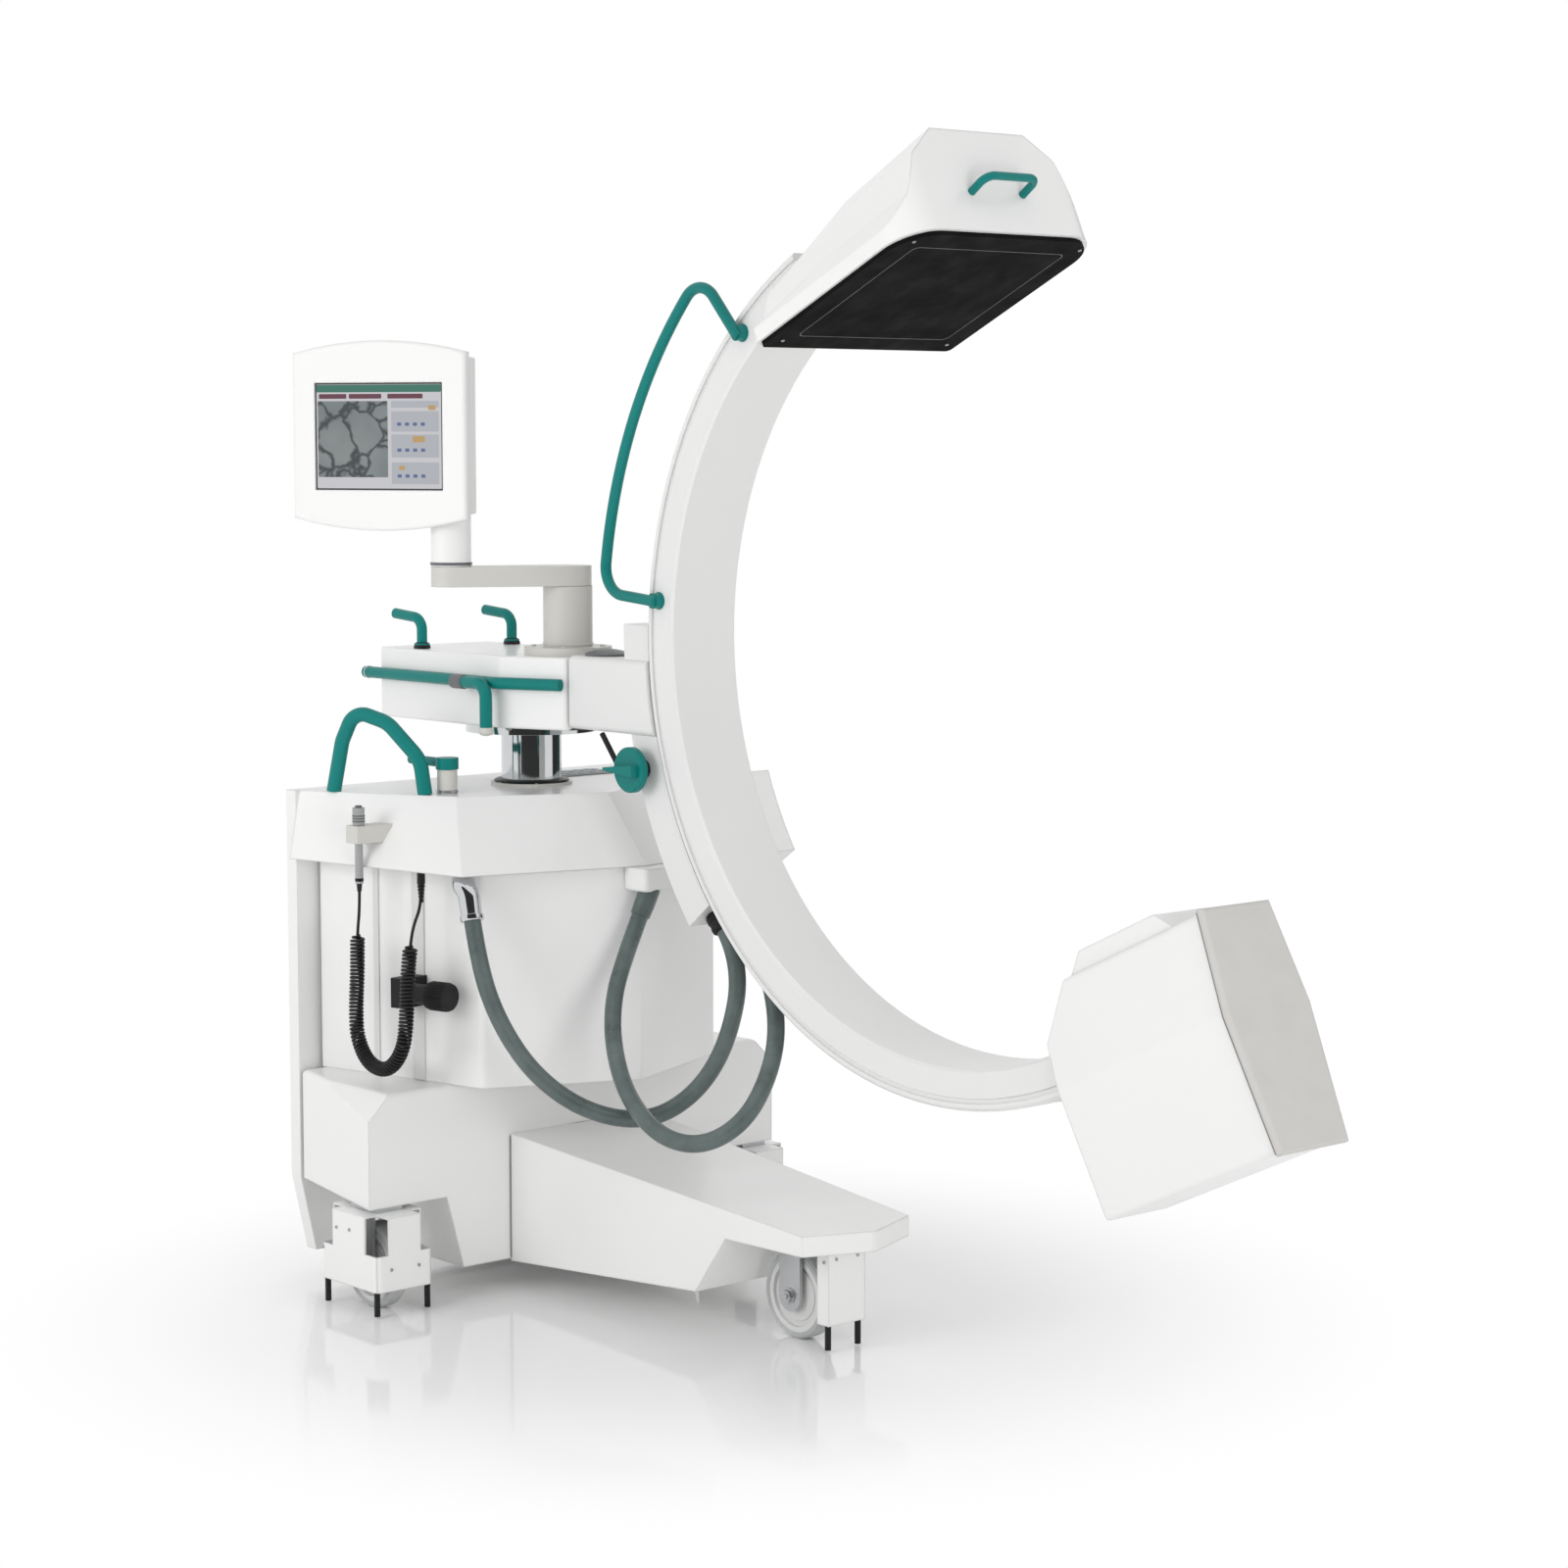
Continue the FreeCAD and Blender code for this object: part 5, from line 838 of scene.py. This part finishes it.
def carriage_details():
    """The screws on the carriage's far side and rear, and the plate under it, dark grey partly as painted
    shade under the carriage.
    """
    screws = Form()
    for x in (-860, -720, -600):
        screw(screws, met("carriage", (x, 200, 858), (0, -1, 0)), (0, 1, 0), 3.4)
    for y in (-70, 70):
        for z in (860, 924):
            screw(screws, met("carriage", (-1000, y, z), (1, 0, 0)), (-1, 0, 0), 3.4)
    piece("carriage_screws", screws, "turret", "steel")
    plate = Form()
    place = place_of((-500, 0, 834), (0, -1, 0), (-1, 0, 0))
    plate.slab(place @ Matrix.Rotation(pi, 4, "Y"), rounded(112, 60, 8), 3.2, 0.8)
    # The plate's dark grey is partly painted shade, for the dark under the carriage
    piece("carriage_underplate", plate, "turret", "dark_grey")


def head_details():
    """The screws on the head's far side and on the flange of its shaft."""
    screws = Form()
    for x, z in ((-444, 850), (-444, 934), (-352, 850), (-352, 934)):
        screw(screws, met("yoke", (x, 200, z), (0, -1, 0)), (0, 1, 0), 3.2)
    piece("head_screws", screws, "head", "steel")
    ring = Form()
    for step in range(8):
        angle = tau * (step + 0.5) / 8
        spot = Vector((-469.5, 43 * cos(angle), TURN_HEIGHT + 43 * sin(angle)))
        ring.turned([(2.6, 0), (2.6, 1.4), (2.0, 1.8), (1.3, 1.8, 6), (1.2, 0.8, 6)], spot, (-1, 0, 0), 18)
    piece("shaft_flange_screws", ring, "slide", "steel")


def column_fittings():
    """The wiper ring that the column slides through, with its screws."""
    collar_top = COLUMN + Vector((0, 0, CONSOLE_TOP + 4))
    ring = Form()
    ring.turned([(46.4, 0), (57, 0), (57, 2.6), (54, 4.4), (47.6, 5.2), (46.4, 4.6)], collar_top, UP, 64)
    piece("column_wiper", ring, "stand", "black_rubber")
    screws = Form()
    for spot in spots_round(collar_top, 59.4, 6):
        screw(screws, spot, UP, 2.2)
    piece("collar_screws", screws, "stand", "steel")


# The console, the cabinet and the base

def console_keys():
    """A blank key panel on the console, with a lamp beside each row of keys."""
    panel = Form()
    place = place_of((-716, 150, CONSOLE_TOP), (0, -1, 0), (1, 0, 0))
    panel.slab(place, rounded(120, 78, 8), 1.2, 0.5)
    piece("key_panel", panel, "stand", "dark_grey")
    keys = Form()
    lamps = Form()
    pitch = 22
    rise = 1.1
    raised = place @ Matrix.Translation((0, 0, rise))
    for row in range(3):
        up = -24 + pitch * row
        for column in range(5):
            outline = rounded(16, 14, 3, (-44 + pitch * column, up))
            keys.slab(raised, outline, 1.3, 0.7)
        lamps.turned([(1.6, 0), (1.6, 0.5), (1.0, 1.0)], place @ Vector((-55, up, rise)), UP, 16)
    piece("keys", keys, "stand", "dark_grey", FINISHES["key_pad"])
    piece("key_lamps", lamps, "stand", "teal")


def wall_place(distance, height, side):
    """A place on the cabinet's side wall, a distance along it from its rear corner."""
    rear = Vector((WALL_REAR[0], side * WALL_REAR[1], height))
    run = Vector((WALL_RUN[0], -side * WALL_RUN[1], 0)).normalized()
    spot = rear + run * distance
    return place_of(spot, run * -side, UP)


def cabinet_details():
    """The pale grey strips on the cabinet's sides, their grey painted shade, and the joints of the base."""
    middle = (CONSOLE_BOTTOM + CABINET_BOTTOM) / 2
    tall = CONSOLE_BOTTOM - CABINET_BOTTOM - 2
    strips = Form()
    for side in (-1, 1):
        for distance, wide, thick in ((113, 10, 2.4), (196, 22, 3.2)):
            strips.slab(wall_place(distance, middle, side), rounded(wide, tall, 1.2), thick, 1.4)
    # The strips' pale grey is painted shade for the grey bands on the side walls
    piece("cabinet_strips", strips, "stand", "white_cover", FINISHES["strip_grey"])
    joints = Form()
    bar_front = -521.5
    for side in (-1, 1):
        y = side * 132.6
        joints.swept([(bar_front, y, 44), (bar_front, y, 228)], 1.1, 8)
        joints.swept([(bar_front, y, 229), (bar_front, 0, 231.5), (bar_front, -1, 231.5)], 0.9, 8)
    piece("leg_joint", joints, "stand", "white_cover", FINISHES["joint_shadow"])


def rear_details():
    """The operator's side: air slots, the mains inlet, two cable hooks and the panel's screws."""
    def rear(y, z):
        return place_of((REAR_FACE, y, z), (0, -1, 0), UP)

    slots = Form()
    for row in range(10):
        for y in (-90, 90):
            slots.slab(rear(y, 200 + 11 * row), rounded(130, 4, 1.9), 0.5, 0.3)
    piece("rear_air_slots", slots, "stand", "black")
    inlet = Form()
    socket_y = -190
    breaker_y = -120
    height = 420
    raised = Matrix.Translation((0, 0, 3))
    inlet.slab(rear(socket_y, height), rounded(64, 48, 5), 3.0, 1.0)
    inlet.slab(rear(socket_y, height) @ raised, rounded(32, 24, 3), 1.6, 0.6)
    inlet.slab(rear(breaker_y, height), rounded(34, 48, 4), 3.0, 1.0)
    inlet.slab(rear(breaker_y, height) @ raised, rounded(14, 26, 2), 3.4, 1.0)
    piece("mains_inlet", inlet, "stand", "black")
    hooks = Form()
    hook_height = 520
    for y in (110, 210):
        foot = Vector((REAR_FACE, y, hook_height))
        hooks.slab(rear(y, hook_height), rounded(34, 70, 8), 4, 1.2)
        line = [foot, foot + Vector((-30, 0, 0)), foot + Vector((-52, 0, 2)), foot + Vector((-54, 0, 36))]
        hooks.swept([spot * METRE for spot in line_of(in_metres(line))], 7, 16)
    piece("cable_hooks", hooks, "stand", "dark_grey")
    screws = Form()
    for y in (-306, 306):
        for z in (180, 420, 700):
            screw(screws, met("rear_panel", (-900, y, z), (1, 0, 0)), (-1, 0, 0), 3.6)
    for y in (socket_y, breaker_y):
        for z in (height - 21, height + 21):
            screw(screws, (REAR_FACE - 3, y, z), (-1, 0, 0), 1.8)
    piece("rear_screws", screws, "stand", "steel")


def connector_details():
    """The ribbed grip and the ring of the parked connector."""
    run = Vector((*WALL_RUN, 0)).normalized()
    outward = Vector((run.y, -run.x, 0))
    # The connector lies along the near wall, off a spot this far forwards of the wall's rear corner
    forwards = 192
    inwards = WALL_RUN[1] * (forwards / WALL_RUN[0])
    seat = Vector((WALL_REAR[0] + forwards, -WALL_REAR[1] + inwards, 455)) + outward * 36
    ribs = Form()
    ridges = 28
    ridge_steps = 4
    ridge_height = 0.6
    profile = [(19.4, 54), (20.9, 55), (20.9, 84), (19.2, 87.2)]
    rings = []
    turn = run.to_track_quat("Z", "Y")
    for radius, height in profile:
        ring = []
        for step in range(ridges * ridge_steps):
            angle = tau * step / (ridges * ridge_steps)
            reach = radius + (ridge_height if step % ridge_steps in (1, 2) else -ridge_height)
            ring.append(seat + turn @ Vector((reach * cos(angle), reach * sin(angle), height)))
        rings.append(ring)
    ribs.skin(rings)
    ribs.turned([(15.1, 4), (16.6, 5), (16.6, 16), (15.1, 17)], seat, run, 36)
    piece("connector_grip", ribs, "stand", "black")


def switch_details():
    """The finger rings of the hand switch and the sleeve where its cord leaves it."""
    top = Vector((-628, -325, 700.3))
    body_long = 86
    form = Form()
    for rise in (5, 9, 13):
        profile = [(9.05, rise), (9.7, rise + 0.5), (9.7, rise + 1.6), (9.05, rise + 2.1)]
        form.turned(profile, top, UP, 28)
    piece("switch_rings", form, "switch", "dark_grey")
    relief = Form()
    low = top - Vector((0, 0, body_long))
    profile = [(2.5, -12), (3.2, -12), (4.4, 0), (6.0, 3), (6.4, 3.4), (6.4, 7), (6.02, 8)]
    relief.turned(profile, low, UP, 24)
    piece("switch_relief", relief, "switch", "black_rubber")


def steering_details():
    """The ring round the foot of the steering lever's post."""
    form = Form()
    post_foot = (-599, -186, CONSOLE_TOP)
    form.turned([(15.1, 1), (16.2, 1.6), (16.2, 5), (15.1, 5.6)], post_foot, UP, 36)
    piece("lever_post_ring", form, "stand", "steel")


# The casters

def wheel_fittings():
    """Hub caps on the wheels, and a washer and a nut on each end of the axles."""
    cap = [(38, 0), (38, 1.2), (34, 2.2), (20, 2.6), (14.2, 5), (14.1, 6.8)]
    washer = [(11.5, 0), (11.5, 1.4), (10.6, 1.6)]
    nut = [(9.4, 1.4, 6), (9.4, 6, 6), (8.2, 7), (4.5, 7), (4.5, 8.6), (3.6, 9.2)]
    wheel_side = 8
    fork_side = 23
    for name, middle in WHEELS.items():
        caps = Form()
        for side in (-1, 1):
            caps.turned(cap, middle + Vector((0, side * wheel_side, 0)), (0, side, 0), 48)
        piece("hub_discs_" + name, caps, "wheel_body_" + name, "wheel")
        nuts = Form()
        for side in (-1, 1):
            seat = middle + Vector((0, side * fork_side, 0))
            nuts.turned(washer, seat, (0, side, 0), 30)
            nuts.turned(nut, seat, (0, side, 0), 30)
        piece("axle_nuts_" + name, nuts, "caster_" + name, "steel")


def guard_screws():
    """The screws of the cable guards, set on the guards' own skin from the side and the front."""
    for name, side in (("rear_left", 1), ("rear_right", -1)):
        screws = Form()
        for x, z in ((-587, 119.5), (-554, 121), (-622, 84)):
            screw(screws, met("guard_" + name, (x, side * 450, z), (0, -side, 0)), (0, side, 0), 2.8)
        for y in (326, 374):
            screw(screws, met("guard_" + name, (-450, side * y, 70), (-1, 0, 0)), (1, 0, 0), 2.8)
        piece("guard_screws_" + name, screws, "caster_" + name, "steel")
    screws = Form()
    for y in (-20, 20):
        screw(screws, met("front_guard", (120, y, 132), (-1, 0, 0)), (1, 0, 0), 2.8)
    for side in (-1, 1):
        screw(screws, met("front_guard", (70, side * 80, 128), (0, -side, 0)), (0, side, 0), 2.8)
    piece("front_guard_screws", screws, "stand", "steel")


# The light, the floor and the camera

# How brightly the room lights the machine, and how far out the floor starts to fade and is white
WORLD_LIGHT = 0.69
FLOOR_NEAR = 0.35
FLOOR_FAR = 1.08


def studio():
    """A white room: soft light from all round, and plain white behind the machine and in its metal."""
    world = bpy.data.worlds.new("studio")
    bpy.context.scene.world = world
    world.use_nodes = True
    tree = world.node_tree
    ground = tree.nodes["Background"]
    ground.inputs["Color"].default_value = (1, 1, 1, 1)
    path = add(tree, "ShaderNodeLightPath")
    direct = add(tree, "ShaderNodeMath", {"operation": "MAXIMUM"}, in0=path.outputs["Is Camera Ray"],
                 in1=path.outputs["Is Glossy Ray"])
    seen = add(tree, "ShaderNodeMath", {"operation": "MAXIMUM"}, in0=direct.outputs[0],
               in1=path.outputs["Is Transmission Ray"])
    strength = add(tree, RANGE, Value=seen.outputs[0], To_Min=WORLD_LIGHT, To_Max=1.0)
    tree.links.new(strength.outputs["Result"], ground.inputs["Strength"])


def lamp(name, place, target, width, power):
    """A square soft lamp that shines at a target and isn't mirrored in metal."""
    data = bpy.data.lights.new(name, "AREA")
    data.size = width
    data.energy = power
    made = placed(name, data)
    made.location = place
    made.rotation_euler = (Vector(target) - Vector(place)).to_track_quat("-Z", "Y").to_euler()
    made.visible_glossy = False


def dark_card(name, degrees, wide):
    """A dark board that stands at an angle round the column and that only polished surfaces see."""
    away = 4.5
    height = Vector((0, 0, 3))
    angle = radians(degrees)
    toward = Vector((cos(angle), sin(angle), 0))
    side = Vector((-toward.y, toward.x, 0)) * wide / 2
    middle = COLUMN / METRE + toward * away
    corners = [middle - side, middle + side, middle + side + height, middle - side + height]
    mesh = bpy.data.meshes.new(name)
    mesh.from_pydata(corners, [], [(0, 1, 2, 3)])
    made = bpy.data.materials.new(name)
    made.use_nodes = True
    mesh.materials.append(shaded(made, Base_Color="#1C1C1C"))
    card = placed(name, mesh)
    for ray in ("camera", "diffuse", "shadow", "transmission", "volume_scatter"):
        setattr(card, "visible_" + ray, False)


def floor():
    """A polished white floor that keeps shadows and reflections near the machine and fades to white."""
    made, tree, place = start("floor", Base_Color="#FAFAFA", Roughness=0.07, Specular_IOR_Level=0.35)
    shader = tree.nodes["Principled BSDF"]
    middle = add(tree, "ShaderNodeVectorMath", {"operation": "SUBTRACT"}, in0=place, in1=(-0.25, 0, 0))
    away = add(tree, "ShaderNodeVectorMath", {"operation": "LENGTH"}, in0=middle.outputs[0])
    faded = add(tree, RANGE, {"interpolation_type": "SMOOTHSTEP"},
                Value=away.outputs["Value"], From_Min=FLOOR_NEAR, From_Max=FLOOR_FAR)
    path = add(tree, "ShaderNodeLightPath")
    seen = add(tree, "ShaderNodeMath", {"operation": "MAXIMUM"}, in0=path.outputs["Is Camera Ray"],
               in1=path.outputs["Is Glossy Ray"])
    share = add(tree, "ShaderNodeMath", {"operation": "MULTIPLY"}, in0=faded.outputs["Result"],
                in1=seen.outputs[0])
    white = add(tree, "ShaderNodeEmission", Color=(1, 1, 1, 1), Strength=1.0)
    blend = add(tree, "ShaderNodeMixShader", in0=share.outputs[0], in1=shader.outputs[0],
                in2=white.outputs[0])
    tree.links.new(blend.outputs[0], tree.nodes["Material Output"].inputs["Surface"])
    far = 9.0
    mesh = bpy.data.meshes.new("floor")
    mesh.from_pydata([(-far, -far, 0), (far, -far, 0), (far, far, 0), (-far, far, 0)], [], [(0, 1, 2, 3)])
    mesh.materials.append(made)
    ground = placed("floor", mesh)


def camera():
    """The camera that looks as the photograph does."""
    data = bpy.data.cameras.new("camera")
    data.sensor_width = SENSOR
    data.lens = CAMERA_LENS
    made = placed("camera", data)
    made.location = CAMERA_PLACE
    made.rotation_euler = CAMERA_LOOK.to_track_quat("-Z", "Y").to_euler()
    bpy.context.scene.camera = made


bpy.context.scene.view_settings.view_transform = "Standard"
camera()
studio()
floor()
lamp("key", (-0.4, -4.0, 1.7), (-0.35, 0, 0.45), 1.9, 46)
lamp("fill", (3.8, -1.0, 0.7), (-0.5, 0, 0.35), 1.6, 38)
lamp("rim", (-2.8, 2.6, 3.0), (0, 0, 0.9), 2.0, 10)
for card_name, card_degrees, card_wide in (("dark_card_front", -35, 8.0), ("dark_card_far", 76, 4.4)):
    dark_card(card_name, card_degrees, card_wide)
dress_cad()
hose("hose_side", SIDE_HOSE, -1)
hose("hose_front", FRONT_HOSE, 1)
switch_cord()
cord_glands()
gland_rings()
screen_picture()
monitor_details()
detector_details()
tube_details()
bow_fixings()
rail_fittings()
lever_collars()
carriage_details()
head_details()
column_fittings()
console_keys()
cabinet_details()
rear_details()
connector_details()
switch_details()
steering_details()
wheel_fittings()
guard_screws()
